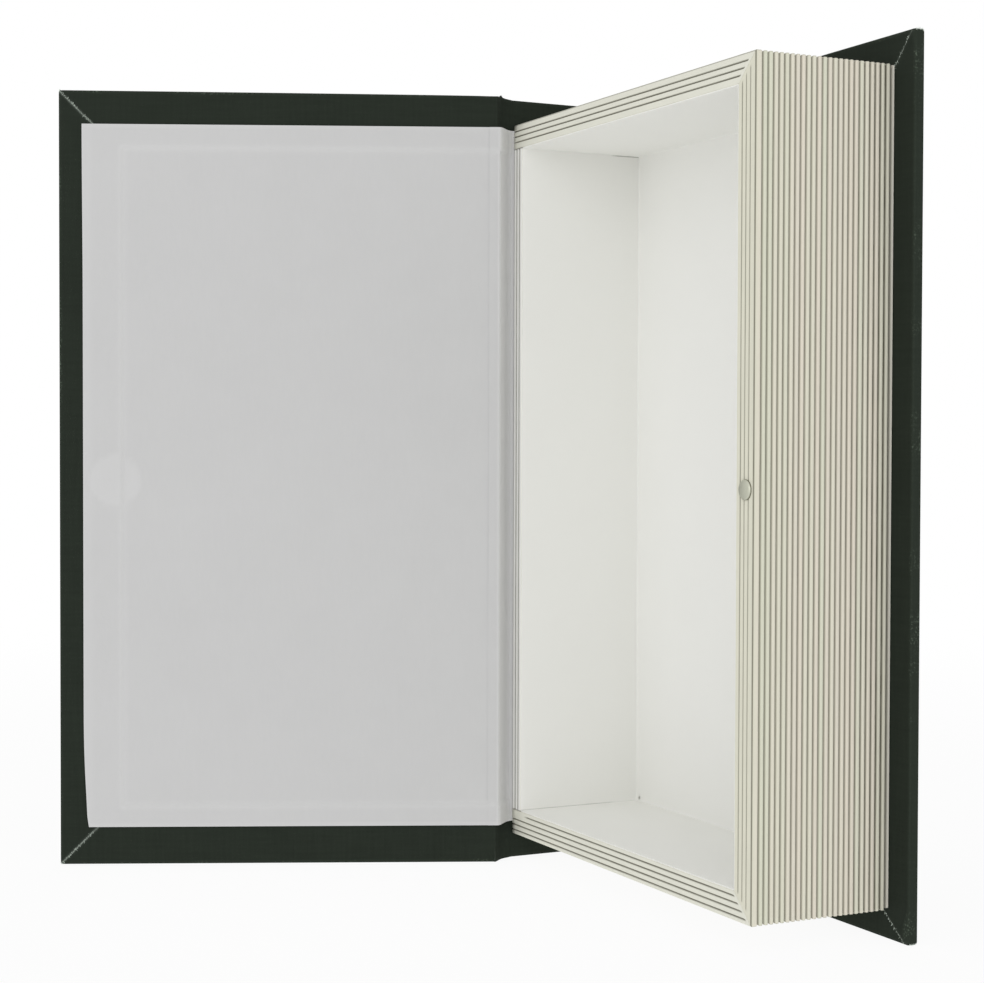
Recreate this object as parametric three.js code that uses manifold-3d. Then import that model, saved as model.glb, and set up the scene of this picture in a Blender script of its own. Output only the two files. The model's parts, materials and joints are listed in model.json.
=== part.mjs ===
// Decorative book box, standing open on its tail edges.
//
// A case of three cloth-covered boards opens on a cloth joint. A tray of grooved walls, which
// imitate the leaves of a book, is glued to the back cover and the spine, and a disc magnet in
// its rim holds the front cover shut by a steel disc under the endpaper.
//
// Millimetres, +Z up. The pieces are laid out in book coordinates: x runs from the spine face
// of the tray to the fore edge, y from the mouth of the tray to the back cover, and z from the
// tail edge of the covers to the head edge. The joint of the front cover folds along two lines,
// one beside the spine and one at the edge of the cover board. The cover is laid out shut and
// then turned about both.

import * as THREE from 'three';
import { mergeVertices } from 'three/addons/utils/BufferGeometryUtils.js';
import Module from 'manifold-3d';

// Case
const COVER_HEIGHT = 270;
const BOARD = 2;
const CLOTH = 0.4;
const GLUE = 0.3;
const TURN_IN = 20;
const COVER_EDGE_ROUND = 0.5;
const MITRE_SLIT = 0.3;
const END_SQUARE = 9.5;
const FORE_SQUARE = 9.5;
const JOINT_WIDTH = 9.5;
const SPINE_FRONT_SETBACK = 0.5;
const OPEN_AT_SPINE = 51.3;
const OPEN_AT_COVER = 62.7;
const BACK_GROOVE_DEPTH = 1.9;

// Endpaper
const ENDPAPER = 0.25;
const ENDPAPER_FORE_INSET = 8.5;
const ENDPAPER_HEAD_INSET = 11;
const ENDPAPER_TAIL_INSET = 12.5;
const ENDPAPER_TUCK = 8;
const TUCK_GAP = 0.2;

// Tray
const TRAY_WIDTH = 153;
const WALL_DEPTH = 47.8;
const END_WALL = 8;
const FORE_WALL = 9;
const SPINE_WALL = 6.2;
const BASE = 1;
const TRAY_GLUE = 0.1;
const WALL_MITRE_GAP = 0.1;
const LINING = 0.3;
const LINING_SETBACK = 0.2;

// Leaves imitated by grooves
const FIRST_LEAF = 2.5;
const LEAF_PITCH = 1.8875;
const LEAF_GROOVE_WIDTH = 0.6;
const LEAF_GROOVE_DEPTH = 0.5;
const LEAF_CROWN = 0.12;
const RIM_PITCH = 2.05;
const RIM_GROOVES = 3;
const RIM_GROOVE_WIDTH = 0.45;
const RIM_GROOVE_DEPTH = 0.4;
const RIM_GROOVE_STOP = 1.2;
const SPINE_RIM_GROOVES = 2;
const SPINE_RIM_FIRST = 1.25;

// Magnetic closure
const CLOSURE_HEIGHT = 135;
const MAGNET_DIAMETER = 6;
const MAGNET_LENGTH = 3;
const MAGNET_PROUD = 0.8;
const MAGNET_CHAMFER = 0.35;
const MAGNET_INSET = 4;
const MAGNET_FIT = 0.2;
const CLOSED_CLEARANCE = 0.3;
const DISC_DIAMETER = 18;
const DISC_THICKNESS = 1;
const DISC_FORE_INSET = 19.6;
const ROUND_STEPS = 32;
const RIBBON_STEPS = 32;

// Places worked out from the sizes above
const COVER_THICKNESS = 2 * CLOTH + 2 * GLUE + BOARD;
const COVER_FORE = TRAY_WIDTH + FORE_SQUARE;
const TRAY_TAIL = END_SQUARE;
const TRAY_HEAD = COVER_HEIGHT - END_SQUARE;
const INNER_TAIL = TRAY_TAIL + END_WALL;
const INNER_HEAD = TRAY_HEAD - END_WALL;
const INNER_FORE = TRAY_WIDTH - FORE_WALL;
const BASE_BACK = WALL_DEPTH + TRAY_GLUE + BASE;
const BACK_FACE = BASE_BACK + GLUE;
const BACK_OUTER = BACK_FACE + COVER_THICKNESS;
const ENDPAPER_FACE = -(MAGNET_PROUD + CLOSED_CLEARANCE);
const FRONT_FACE = ENDPAPER_FACE - ENDPAPER - GLUE;
const FRONT_OUTER = FRONT_FACE - COVER_THICKNESS;
const SPINE_FACE = -(2 * TUCK_GAP + ENDPAPER);
const SPINE_OUTER = SPINE_FACE - COVER_THICKNESS;
const SPINE_FRONT = -SPINE_FRONT_SETBACK;
const SPINE_BACK = BACK_FACE;
const SPINE_FOLD = new THREE.Vector2(SPINE_FACE / 2, -TRAY_GLUE);
const COVER_FOLD = new THREE.Vector2(JOINT_WIDTH, FRONT_FACE);
const CUT = 1;

const COLOURS = {
  cloth: '#2e332d',
  board: '#8f8b80',
  endpaper: '#c5c5c7',
  leaves: '#d6d3c3',
  lining: '#dfe0dc',
  magnet: '#a9aa9a',
  steel: '#9c9d9b',
};

const wasm = await Module();
wasm.setup();

// Solids and cuts

const PRISM_FRAMES = {
  x: new THREE.Matrix4().makeBasis(
    new THREE.Vector3(0, 1, 0), new THREE.Vector3(0, 0, 1), new THREE.Vector3(1, 0, 0)),
  y: new THREE.Matrix4().makeBasis(
    new THREE.Vector3(1, 0, 0), new THREE.Vector3(0, 0, 1), new THREE.Vector3(0, -1, 0)),
  z: new THREE.Matrix4(),
};

// A prism along one axis. Its outline is given as (y, z), (x, z) or (x, y) points.
function prism(outline, axis, from, to) {
  const shape = new THREE.Shape(outline.map(([u, v]) => new THREE.Vector2(u, v)));
  const geometry = new THREE.ExtrudeGeometry(shape, { depth: to - from, bevelEnabled: false });
  geometry.applyMatrix4(PRISM_FRAMES[axis]);
  const shift = { x: [from, 0, 0], y: [0, to, 0], z: [0, 0, from] }[axis];
  return geometry.translate(...shift);
}

function block(x0, x1, y0, y1, z0, z1) {
  const geometry = new THREE.BoxGeometry(x1 - x0, y1 - y0, z1 - z0);
  return geometry.translate((x0 + x1) / 2, (y0 + y1) / 2, (z0 + z1) / 2);
}

// A slab with all its edges rounded by a small bevel.
function softSlab(x0, x1, y0, y1, z0, z1, round) {
  const outline = [[x0 + round, z0 + round], [x1 - round, z0 + round],
    [x1 - round, z1 - round], [x0 + round, z1 - round]];
  const shape = new THREE.Shape(outline.map(([u, v]) => new THREE.Vector2(u, v)));
  const geometry = new THREE.ExtrudeGeometry(shape, {
    depth: y1 - y0 - 2 * round,
    bevelThickness: round,
    bevelSize: round,
    bevelSegments: 2,
  });
  return geometry.applyMatrix4(PRISM_FRAMES.y).translate(0, y1 - round, 0);
}

function discAlongY(x, z, y0, y1, radius) {
  const geometry = new THREE.CylinderGeometry(radius, radius, y1 - y0, ROUND_STEPS);
  return geometry.translate(x, (y0 + y1) / 2, z);
}

function solid(geometry) {
  const bare = geometry.clone();
  bare.deleteAttribute('normal');
  bare.deleteAttribute('uv');
  const merged = mergeVertices(bare, 1e-4);
  return new wasm.Manifold(new wasm.Mesh({
    numProp: 3,
    vertProperties: new Float32Array(merged.attributes.position.array),
    triVerts: new Uint32Array(merged.index.array),
  }));
}

function cut(body, tools) {
  let result = solid(body);
  for (const tool of tools) {
    result = result.subtract(solid(tool));
  }
  const mesh = result.getMesh();
  const geometry = new THREE.BufferGeometry();
  geometry.setAttribute('position', new THREE.BufferAttribute(mesh.vertProperties, 3));
  geometry.setIndex(new THREE.BufferAttribute(mesh.triVerts, 1));
  geometry.computeVertexNormals();
  return geometry;
}

// A strip of even thickness that follows a smooth line through plan points, from z0 to z1.
function ribbon(points, thickness, z0, z1) {
  const line = new THREE.CatmullRomCurve3(
    points.map(([x, y]) => new THREE.Vector3(x, y, 0)), false, 'centripetal');
  const left = [];
  const right = [];
  for (let step = 0; step <= RIBBON_STEPS; step += 1) {
    const at = line.getPoint(step / RIBBON_STEPS);
    const along = line.getTangent(step / RIBBON_STEPS);
    const side = new THREE.Vector2(-along.y, along.x).multiplyScalar(thickness / 2);
    left.push([at.x + side.x, at.y + side.y]);
    right.unshift([at.x - side.x, at.y - side.y]);
  }
  return prism([...left, ...right], 'z', z0, z1);
}

function piece(name, geometry, colour, roughness, metalness = 0) {
  const material = new THREE.MeshStandardMaterial({ color: COLOURS[colour], roughness, metalness });
  const mesh = new THREE.Mesh(geometry, material);
  mesh.name = name;
  return mesh;
}

// A point of the shut front cover, moved to where it lies with the cover open.
function opened(x, y) {
  const point = new THREE.Vector2(x, y)
    .rotateAround(COVER_FOLD, -THREE.MathUtils.degToRad(OPEN_AT_COVER))
    .rotateAround(SPINE_FOLD, -THREE.MathUtils.degToRad(OPEN_AT_SPINE));
  return [point.x, point.y];
}

// Front and back covers

// Slits between the turn-ins where their ends are cut and meet on the diagonal of a corner.
function mitreSlits(y0, y1) {
  const half = MITRE_SLIT * Math.SQRT1_2;
  const start = CLOTH;
  const end = TURN_IN + CUT;
  return [1, -1].map((up) => {
    const edge = up > 0 ? 0 : COVER_HEIGHT;
    const outline = [
      [COVER_FORE - start - half, edge + up * start],
      [COVER_FORE - start, edge + up * (start - half)],
      [COVER_FORE - end + half, edge + up * end],
      [COVER_FORE - end, edge + up * (end + half)],
    ];
    return prism(outline, 'y', y0, y1);
  });
}

// The cloth of one cover. out is -1 for the front cover and 1 for the back cover.
function coverCloth(face, out) {
  const span = (near, far) => [face + out * near, face + out * far].sort((a, b) => a - b);
  const outside = span(0, COVER_THICKNESS);
  const inside = span(CLOTH, COVER_THICKNESS - CLOTH);
  const window = span(-CUT, CLOTH + GLUE);
  const slab = softSlab(
    JOINT_WIDTH - CUT, COVER_FORE, ...outside, 0, COVER_HEIGHT, COVER_EDGE_ROUND);
  return cut(slab, [
    block(JOINT_WIDTH - 2 * CUT, JOINT_WIDTH, outside[0] - CUT, outside[1] + CUT,
      -CUT, COVER_HEIGHT + CUT),
    block(JOINT_WIDTH - CUT, COVER_FORE - CLOTH, ...inside, CLOTH, COVER_HEIGHT - CLOTH),
    block(JOINT_WIDTH - CUT, COVER_FORE - TURN_IN, ...window, TURN_IN, COVER_HEIGHT - TURN_IN),
    ...mitreSlits(...window),
  ]);
}

function coverBoard(face, out) {
  const span = [face + out * (CLOTH + GLUE), face + out * (CLOTH + GLUE + BOARD)];
  const hem = CLOTH + GLUE;
  return block(JOINT_WIDTH, COVER_FORE - hem, ...span.sort((a, b) => a - b),
    hem, COVER_HEIGHT - hem);
}

function makeFrontCover() {
  const boardFace = FRONT_FACE - CLOTH - GLUE;
  const discX = COVER_FORE - DISC_FORE_INSET;
  const pocket = discAlongY(discX, CLOSURE_HEIGHT, boardFace - DISC_THICKNESS - GLUE,
    boardFace + CUT, DISC_DIAMETER / 2 + GLUE);
  const disc = discAlongY(
    discX, CLOSURE_HEIGHT, boardFace - DISC_THICKNESS, boardFace, DISC_DIAMETER / 2);
  const endpaper = block(JOINT_WIDTH, COVER_FORE - ENDPAPER_FORE_INSET,
    ENDPAPER_FACE - ENDPAPER, ENDPAPER_FACE,
    ENDPAPER_TAIL_INSET, COVER_HEIGHT - ENDPAPER_HEAD_INSET);
  return [
    piece('front_board', cut(coverBoard(FRONT_FACE, -1), [pocket]), 'board', 0.9),
    piece('front_cloth', coverCloth(FRONT_FACE, -1), 'cloth', 0.85),
    piece('steel_disc', disc, 'steel', 0.4, 1),
    piece('endpaper', endpaper, 'endpaper', 0.9),
  ];
}

function makeBackCover() {
  return [
    piece('back_board', coverBoard(BACK_FACE, 1), 'board', 0.9),
    piece('back_cloth', coverCloth(BACK_FACE, 1), 'cloth', 0.85),
  ];
}

// Spine and joints

function makeSpine() {
  const cloth = cut(
    block(SPINE_OUTER, SPINE_FACE, SPINE_FRONT, SPINE_BACK, 0, COVER_HEIGHT), [
      block(SPINE_OUTER + CLOTH, SPINE_FACE - CLOTH, SPINE_FRONT - CUT, SPINE_BACK + CUT,
        CLOTH, COVER_HEIGHT - CLOTH),
      block(SPINE_FACE - CLOTH - GLUE, SPINE_FACE + CUT, SPINE_FRONT - CUT, SPINE_BACK + CUT,
        TURN_IN, COVER_HEIGHT - TURN_IN),
    ]);
  const hem = CLOTH + GLUE;
  const board = block(SPINE_OUTER + hem, SPINE_FACE - hem, SPINE_FRONT, SPINE_BACK,
    hem, COVER_HEIGHT - hem);
  return [
    piece('spine_board', board, 'board', 0.9),
    piece('spine_cloth', cloth, 'cloth', 0.85),
  ];
}

// The cloth leaves the outside of the open cover, crosses the joint in a shallow channel and
// goes round the front edge of the spine board.
function frontJointLine() {
  const cover = opened(JOINT_WIDTH - GLUE, FRONT_OUTER + CLOTH / 2);
  const leaving = opened(JOINT_WIDTH - 2 * GLUE - CLOTH, FRONT_OUTER + CLOTH);
  const edge = SPINE_FRONT - GLUE - CLOTH / 2;
  const spineInner = [SPINE_FACE - CLOTH, edge];
  const channel = [(leaving[0] + spineInner[0]) / 2, (leaving[1] + spineInner[1]) / 2];
  return [cover, leaving, channel, spineInner,
    [(SPINE_FACE + SPINE_OUTER) / 2, edge], [SPINE_OUTER + CLOTH / 2, edge]];
}

// The paper follows the hinge edge of the cover board into the channel and is tucked between
// the tray and the spine.
function endpaperJointLine() {
  const middle = ENDPAPER_FACE - ENDPAPER / 2;
  const start = opened(JOINT_WIDTH - GLUE, middle);
  const edge = opened(JOINT_WIDTH - 2 * GLUE, FRONT_FACE - CLOTH);
  const [, , channel] = frontJointLine();
  const tuck = -(TUCK_GAP + ENDPAPER / 2);
  return [start, edge,
    [channel[0] + 3 * GLUE, channel[1] - GLUE],
    [tuck, -2 * GLUE], [tuck, ENDPAPER_TUCK / 4], [tuck, ENDPAPER_TUCK]];
}

function backJointLine() {
  const outer = BACK_OUTER - CLOTH / 2;
  const groove = BACK_OUTER - BACK_GROOVE_DEPTH;
  return [
    [SPINE_OUTER + CLOTH / 2, SPINE_BACK + GLUE],
    [SPINE_OUTER + CLOTH, groove],
    [0, groove + GLUE],
    [JOINT_WIDTH / 2, groove],
    [JOINT_WIDTH - 2 * CLOTH - GLUE, groove + 2 * GLUE],
    [JOINT_WIDTH - GLUE, outer],
  ];
}

function makeJoints() {
  const low = GLUE;
  const high = COVER_HEIGHT - GLUE;
  return [
    piece('front_joint_cloth', ribbon(frontJointLine(), CLOTH, low, high), 'cloth', 0.85),
    piece('back_joint_cloth', ribbon(backJointLine(), CLOTH, low, high), 'cloth', 0.85),
    piece('endpaper_joint', ribbon(endpaperJointLine(), ENDPAPER,
      ENDPAPER_TAIL_INSET, COVER_HEIGHT - ENDPAPER_HEAD_INSET), 'endpaper', 0.9),
  ];
}

// Tray

// The outside of a wall as (depth, rise) points: crowned leaves between grooves.
function leafSurface() {
  const grooves = Math.round((WALL_DEPTH - FIRST_LEAF) / LEAF_PITCH);
  const half = LEAF_GROOVE_WIDTH / 2;
  const points = [[0, 0]];
  for (let groove = 0; groove < grooves; groove += 1) {
    const at = FIRST_LEAF + groove * LEAF_PITCH;
    points.push(
      [at - 2 * half, 0], [at - half, -LEAF_CROWN], [at - half / 2, -LEAF_GROOVE_DEPTH],
      [at + half / 2, -LEAF_GROOVE_DEPTH], [at + half, -LEAF_CROWN], [at + 2 * half, 0]);
  }
  points.push([WALL_DEPTH, 0]);
  return points;
}

// Cuts the end of a wall off along the mitre from an inner to an outer corner, given as (x, z).
function mitreCut(inner, outer, keep) {
  const along = [outer[0] - inner[0], outer[1] - inner[1]];
  const shift = keep * WALL_MITRE_GAP / 2;
  const far = -keep * 2 * (FORE_WALL + TRAY_WIDTH);
  const low = [inner[0] - along[0] + shift, inner[1] - along[1]];
  const high = [outer[0] + along[0] + shift, outer[1] + along[1]];
  const outline = [low, high, [high[0] + far, high[1]], [low[0] + far, low[1]]];
  return prism(outline, 'y', -CUT, WALL_DEPTH + CUT);
}

// One groove in the rim, as a section across it: places across the rim and depths into it.
function rimSection(across) {
  const half = RIM_GROOVE_WIDTH / 2;
  return [[across - half, 0], [across - half, -CUT], [across + half, -CUT], [across + half, 0],
    [across + half / 2, RIM_GROOVE_DEPTH], [across - half / 2, RIM_GROOVE_DEPTH]];
}

function rimOffsets() {
  return Array.from({ length: RIM_GROOVES }, (_, groove) => (groove + 1) * RIM_PITCH);
}

// A head or tail wall. up is 1 at the head and -1 at the tail.
function endWall(up) {
  const outerZ = up > 0 ? TRAY_HEAD : TRAY_TAIL;
  const innerZ = up > 0 ? INNER_HEAD : INNER_TAIL;
  const outline = [[WALL_DEPTH, innerZ], [0, innerZ],
    ...leafSurface().map(([depth, rise]) => [depth, outerZ + up * rise])];
  const grooves = rimOffsets().map((offset) => {
    const section = rimSection(innerZ + up * offset).map(([across, depth]) => [depth, across]);
    const mitreX = INNER_FORE + FORE_WALL * offset / END_WALL;
    return prism(section, 'x', -CUT, mitreX - RIM_GROOVE_STOP);
  });
  const mitre = mitreCut([INNER_FORE, innerZ], [TRAY_WIDTH, outerZ], -1);
  return cut(prism(outline, 'x', 0, TRAY_WIDTH), [mitre, ...grooves]);
}

function foreEdgeWall() {
  const outline = [[INNER_FORE, WALL_DEPTH], [INNER_FORE, 0],
    ...leafSurface().map(([depth, rise]) => [TRAY_WIDTH + rise, depth])];
  const grooves = rimOffsets().map((offset) => {
    const reach = END_WALL * offset / FORE_WALL - RIM_GROOVE_STOP;
    return prism(rimSection(INNER_FORE + offset), 'z', INNER_TAIL - reach, INNER_HEAD + reach);
  });
  const hole = discAlongY(TRAY_WIDTH - MAGNET_INSET, CLOSURE_HEIGHT, -CUT,
    MAGNET_LENGTH - MAGNET_PROUD + MAGNET_FIT, MAGNET_DIAMETER / 2 + MAGNET_FIT);
  return cut(prism(outline, 'z', TRAY_TAIL, TRAY_HEAD), [
    mitreCut([INNER_FORE, INNER_HEAD], [TRAY_WIDTH, TRAY_HEAD], 1),
    mitreCut([INNER_FORE, INNER_TAIL], [TRAY_WIDTH, TRAY_TAIL], 1),
    ...grooves,
    hole,
  ]);
}

function spineWall() {
  const low = INNER_TAIL + TRAY_GLUE;
  const high = INNER_HEAD - TRAY_GLUE;
  const grooves = Array.from({ length: SPINE_RIM_GROOVES }, (_, groove) => prism(
    rimSection(SPINE_RIM_FIRST + groove * RIM_PITCH), 'z', low - CUT, high + CUT));
  return cut(block(0, SPINE_WALL, 0, WALL_DEPTH, low, high), grooves);
}

function makeTray() {
  const base = block(
    0, TRAY_WIDTH, WALL_DEPTH + TRAY_GLUE, BASE_BACK, TRAY_TAIL, TRAY_HEAD);
  return [
    piece('head_wall', endWall(1), 'leaves', 0.7),
    piece('tail_wall', endWall(-1), 'leaves', 0.7),
    piece('fore_edge_wall', foreEdgeWall(), 'leaves', 0.7),
    piece('spine_wall', spineWall(), 'leaves', 0.7),
    piece('tray_base', base, 'leaves', 0.8),
  ];
}

// The walls are lined down to the base, and the floor is lined last, between them.
function makeLinings() {
  const x0 = SPINE_WALL + TRAY_GLUE;
  const x1 = INNER_FORE - TRAY_GLUE;
  const z0 = INNER_TAIL + TRAY_GLUE;
  const z1 = INNER_HEAD - TRAY_GLUE;
  const side = LINING + TRAY_GLUE;
  const mouth = LINING_SETBACK;
  const floor = WALL_DEPTH;
  const sheets = {
    floor_lining: block(x0 + side, x1 - side, floor - LINING, floor, z0 + side, z1 - side),
    head_lining: block(x0, x1, mouth, floor, z1 - LINING, z1),
    tail_lining: block(x0, x1, mouth, floor, z0, z0 + LINING),
    fore_edge_lining: block(x1 - LINING, x1, mouth, floor, z0 + side, z1 - side),
    spine_lining: block(x0, x0 + LINING, mouth, floor, z0 + side, z1 - side),
  };
  return Object.entries(sheets).map(([name, sheet]) => piece(name, sheet, 'lining', 0.9));
}

// A disc with chamfered rims, turned about its axis and then laid along y.
function makeMagnet() {
  const radius = MAGNET_DIAMETER / 2;
  const profile = [
    [0, 0], [radius - MAGNET_CHAMFER, 0], [radius, MAGNET_CHAMFER],
    [radius, MAGNET_LENGTH - MAGNET_CHAMFER], [radius - MAGNET_CHAMFER, MAGNET_LENGTH],
    [0, MAGNET_LENGTH],
  ].map(([r, h]) => new THREE.Vector2(r, h));
  const geometry = new THREE.LatheGeometry(profile, ROUND_STEPS);
  geometry.translate(TRAY_WIDTH - MAGNET_INSET, -MAGNET_PROUD, CLOSURE_HEIGHT);
  return piece('rim_magnet', geometry, 'magnet', 0.3, 1);
}

// The whole box

// Turns pieces that are laid out shut about an upright fold line.
function folded(line, angle, ...pieces) {
  const laidOut = new THREE.Group();
  laidOut.position.set(-line.x, -line.y, 0);
  laidOut.add(...pieces);
  const turned = new THREE.Group();
  turned.position.set(line.x, line.y, 0);
  turned.rotation.z = -THREE.MathUtils.degToRad(angle);
  turned.add(laidOut);
  return turned;
}

const openCover = folded(SPINE_FOLD, OPEN_AT_SPINE,
  folded(COVER_FOLD, OPEN_AT_COVER, ...makeFrontCover()));

const book = new THREE.Group();
book.add(openCover, ...makeBackCover(), ...makeSpine(), ...makeJoints(), ...makeTray(),
  ...makeLinings(), makeMagnet());

// The origin is the centre of the footprint, on the surface that the box stands on.
book.updateMatrixWorld(true);
const extent = new THREE.Box3().setFromObject(book, true);
const middle = extent.getCenter(new THREE.Vector3());
book.position.set(-middle.x, -middle.y, -extent.min.z);

const bookBox = new THREE.Group();
bookBox.add(book);

export default bookBox;
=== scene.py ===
"""Looks of a decorative book box that stands open on its tail edges.

Lengths are worked out in millimetres in book coordinates: x runs from the spine face of the
tray to the fore edge, y from the mouth of the tray to the back cover, and z from the tail edge
of the covers to the head. place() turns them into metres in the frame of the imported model.
"""

import json
import math
from dataclasses import dataclass

import bmesh
import bpy
import numpy as np
from bpy.props import FloatProperty, FloatVectorProperty, IntProperty, PointerProperty
from mathutils import Matrix, Vector


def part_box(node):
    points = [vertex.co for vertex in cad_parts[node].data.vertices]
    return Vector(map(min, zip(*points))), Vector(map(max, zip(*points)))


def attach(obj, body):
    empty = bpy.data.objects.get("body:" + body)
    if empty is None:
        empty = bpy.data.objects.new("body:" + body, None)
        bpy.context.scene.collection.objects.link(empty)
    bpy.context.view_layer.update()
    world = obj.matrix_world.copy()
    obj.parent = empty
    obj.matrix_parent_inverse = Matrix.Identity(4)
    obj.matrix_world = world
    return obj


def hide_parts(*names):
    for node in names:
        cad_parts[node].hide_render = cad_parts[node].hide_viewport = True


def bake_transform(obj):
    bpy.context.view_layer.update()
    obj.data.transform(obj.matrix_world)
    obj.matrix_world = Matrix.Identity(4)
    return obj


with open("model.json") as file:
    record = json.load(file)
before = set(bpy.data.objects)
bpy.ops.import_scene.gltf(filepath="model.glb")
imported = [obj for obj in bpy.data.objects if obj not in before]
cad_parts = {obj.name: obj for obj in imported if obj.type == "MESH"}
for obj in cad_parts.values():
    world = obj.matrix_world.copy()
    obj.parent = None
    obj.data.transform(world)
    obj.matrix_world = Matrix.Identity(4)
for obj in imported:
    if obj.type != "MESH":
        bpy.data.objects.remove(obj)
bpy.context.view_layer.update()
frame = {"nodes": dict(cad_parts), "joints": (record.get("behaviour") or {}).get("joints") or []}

bl_info = {
    "name": "Decorative book box",
    "version": (1, 0, 0),
    "blender": (4, 5, 0),
    "location": "3D View > Sidebar > Book box",
    "description": "Covers the packed book box in cloth and paper and carves its leaf edges",
    "category": "Object",
}

MM = 0.001
TRAY_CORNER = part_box("head_wall")[0]


def sides(node):
    """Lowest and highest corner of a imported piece, in book millimetres."""
    low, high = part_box(node)
    shift = Vector((TRAY_CORNER.x, TRAY_CORNER.y, 0))
    return (low - shift) / MM, (high - shift) / MM


def plan(place_m):
    """A packed place in metres as a plan point in book millimetres."""
    return np.array([place_m[0] - TRAY_CORNER.x, place_m[1] - TRAY_CORNER.y]) / MM


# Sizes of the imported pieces

BASE_LOW, BASE_HIGH = sides("tray_base")
BACK_LOW, BACK_HIGH = sides("back_cloth")
SPINE_LOW, SPINE_HIGH = sides("spine_cloth")
HEAD_LOW, HEAD_HIGH = sides("head_wall")
WALL_DEPTH = HEAD_HIGH.y
TRAY_FORE = BASE_HIGH.x
TRAY_TAIL, TRAY_HEAD = BASE_LOW.z, BASE_HIGH.z
INSIDE_SPINE = sides("spine_wall")[1].x
INSIDE_FORE = sides("fore_edge_wall")[0].x
INSIDE_TAIL, INSIDE_HEAD = sides("tail_wall")[1].z, HEAD_LOW.z
COVER_HEIGHT = BACK_HIGH.z
COVER_THICKNESS = BACK_HIGH.y - BACK_LOW.y
JOINT_WIDTH = BACK_LOW.x
COVER_WIDTH = BACK_HIGH.x - BACK_LOW.x
BACK_OUTER = BACK_HIGH.y
SPINE_OUTER, SPINE_FACE = SPINE_LOW.x, SPINE_HIGH.x
FLOOR_FACE = sides("floor_lining")[0].y

# Folds of the front joint, in plan

FOLDS = {joint["name"]: joint for joint in frame["joints"]}
SPINE_FOLD = plan(FOLDS["joint_fold_at_spine"]["pos_m"])
COVER_FOLD = plan(FOLDS["front_cover_hinge"]["pos_m"])
OPEN_AT_SPINE = math.radians(-FOLDS["joint_fold_at_spine"]["range_deg"][0])
OPEN_AT_COVER = math.radians(-FOLDS["front_cover_hinge"]["range_deg"][0])
OPEN = OPEN_AT_SPINE + OPEN_AT_COVER
COVER_RUN = np.array([math.cos(OPEN), -math.sin(OPEN)])
COVER_FACING = np.array([math.sin(OPEN), math.cos(OPEN)])
JOINT_RUN = (COVER_FOLD - SPINE_FOLD) / np.linalg.norm(COVER_FOLD - SPINE_FOLD)
JOINT_OUTWARD = np.array([JOINT_RUN[1], -JOINT_RUN[0]])

# Cloth: its turn-ins and rounded edges, where a cover's cloth meets the cloth of its joint, how
# far it rises at the head corner of the front cover, and the steps along an edge or a line

CLOTH_THICKNESS = 0.4
TURN_IN = 20.0
EDGE_ROUND = 0.6
EDGE_STEPS = 5
FLAT_STEPS = (1.3, 2.5, 5, 9, 14, 20)
CORNER_ROUND = 1.1
SEAM_START = 3.0
HEAD_RISE = 0.72
WELD = 2e-6
SHARP_BORDER = math.radians(50)
LINE_STEPS = 5

# Mitres of the covers. A drift gives the shift at the corner and at the end that is seen, for
# tail and head. The cut is pale right at the mitre, and the fore-edge lap lifts beside it.

MITRE_GAP = 0.16
MITRE_SEEN = 11.0
MITRE_REACH = 10.0
FRONT_DRIFT = ((0.0, 0.0), (0.2, -0.9))
BACK_DRIFT = ((-1.6, -4.0), (-1.3, 0.5))
FRONT_CUT, BACK_CUT = 1.0, 0.35
CUT_FADE = 0.22
LAP_LIFT, LAP_FADE = 0.16, 1.5

# The joint's cloth: bumps in its head edge as height, place and width along the line, and a
# fold in its turn-in at the tail as height, place and width, the last two as shares of the line

SPINE_SIDE_BUMP = (0.3, 12.0, 3.0)
COVER_SIDE_BUMP = (0.9, 1.3, 0.9)
COVER_SIDE_FOLD = (0.5, 0.6, 0.03)
FOLD_TOP = 5.2

# The visible inner face of the open joint: along it from the fold at the spine, and outward.
# The endpaper spans the same joint more tightly than the cloth behind it.

JOINT_SAG = ((0.75, 0.40), (2.0, 0.85), (3.2, 1.10), (4.5, 1.17), (6.0, 1.0), (7.5, 0.6),
             (8.7, 0.2))
PAPER_SPAN = ((0.75, 0.40), (2.0, 0.60), (3.2, 0.50), (4.5, 0.25), (6.0, -0.15), (7.5, -0.55),
              (8.9, -0.90))
JOINT_MIDDLE = 3

# Endpaper: its glue, and from each edge of the cover the step down from the turned-in cloth,
# the crest of that step and the line along it that is rubbed pale

PAPER_THICKNESS = 0.25
PAPER_GLUE = 0.3
PAPER_TUCK_PLACE = -0.2
STEP_WIDTH = 1.6
FORE_STEP, FORE_CREST, FORE_RUB = 22.6, 21.7, 21.9
HEAD_STEP, HEAD_CREST, HEAD_RUB = 20.0, 19.3, 19.2
TAIL_STEP, TAIL_CREST, TAIL_RUB = 21.3, 20.6, 20.5
RUB_WIDTH = 1.2
BORDER_RUB = 0.6
CREST_SHARE = 0.22
DISC_INSET = 19.6

# Where the endpaper's points lie closer together: beside its fore-edge step, as far from the
# cover's fore edge, and at the heights of the steps at tail and head

NEAR_FORE_STEP, NEAR_FORE_SPACING = (24, 20), 0.35
NEAR_END_STEPS, NEAR_END_SPACING = ((17.5, 24.5), (247.0, 254.5)), 0.4

# Tray walls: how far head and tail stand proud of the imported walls, their rounded edges, the
# spacing of their points, the gap left at the mitres, and the run-out of a groove in the rim

HEAD_PROUD, TAIL_PROUD = 0.4, 0.65
ARRIS_ROUND, INNER_ROUND = 0.35, 0.25
WALL_STEP, RIM_STEP = 0.236, 0.17
WALL_GAP = 0.05
RUN_OUT = 0.8

# Linings: thickness, width of the swing into a corner, painted light that makes the head and
# tail sheets lighter and the spine sheet darker than the floor's, and the depths between which
# the paper gapes in the corner of spine and head, shown by painted shade

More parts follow.
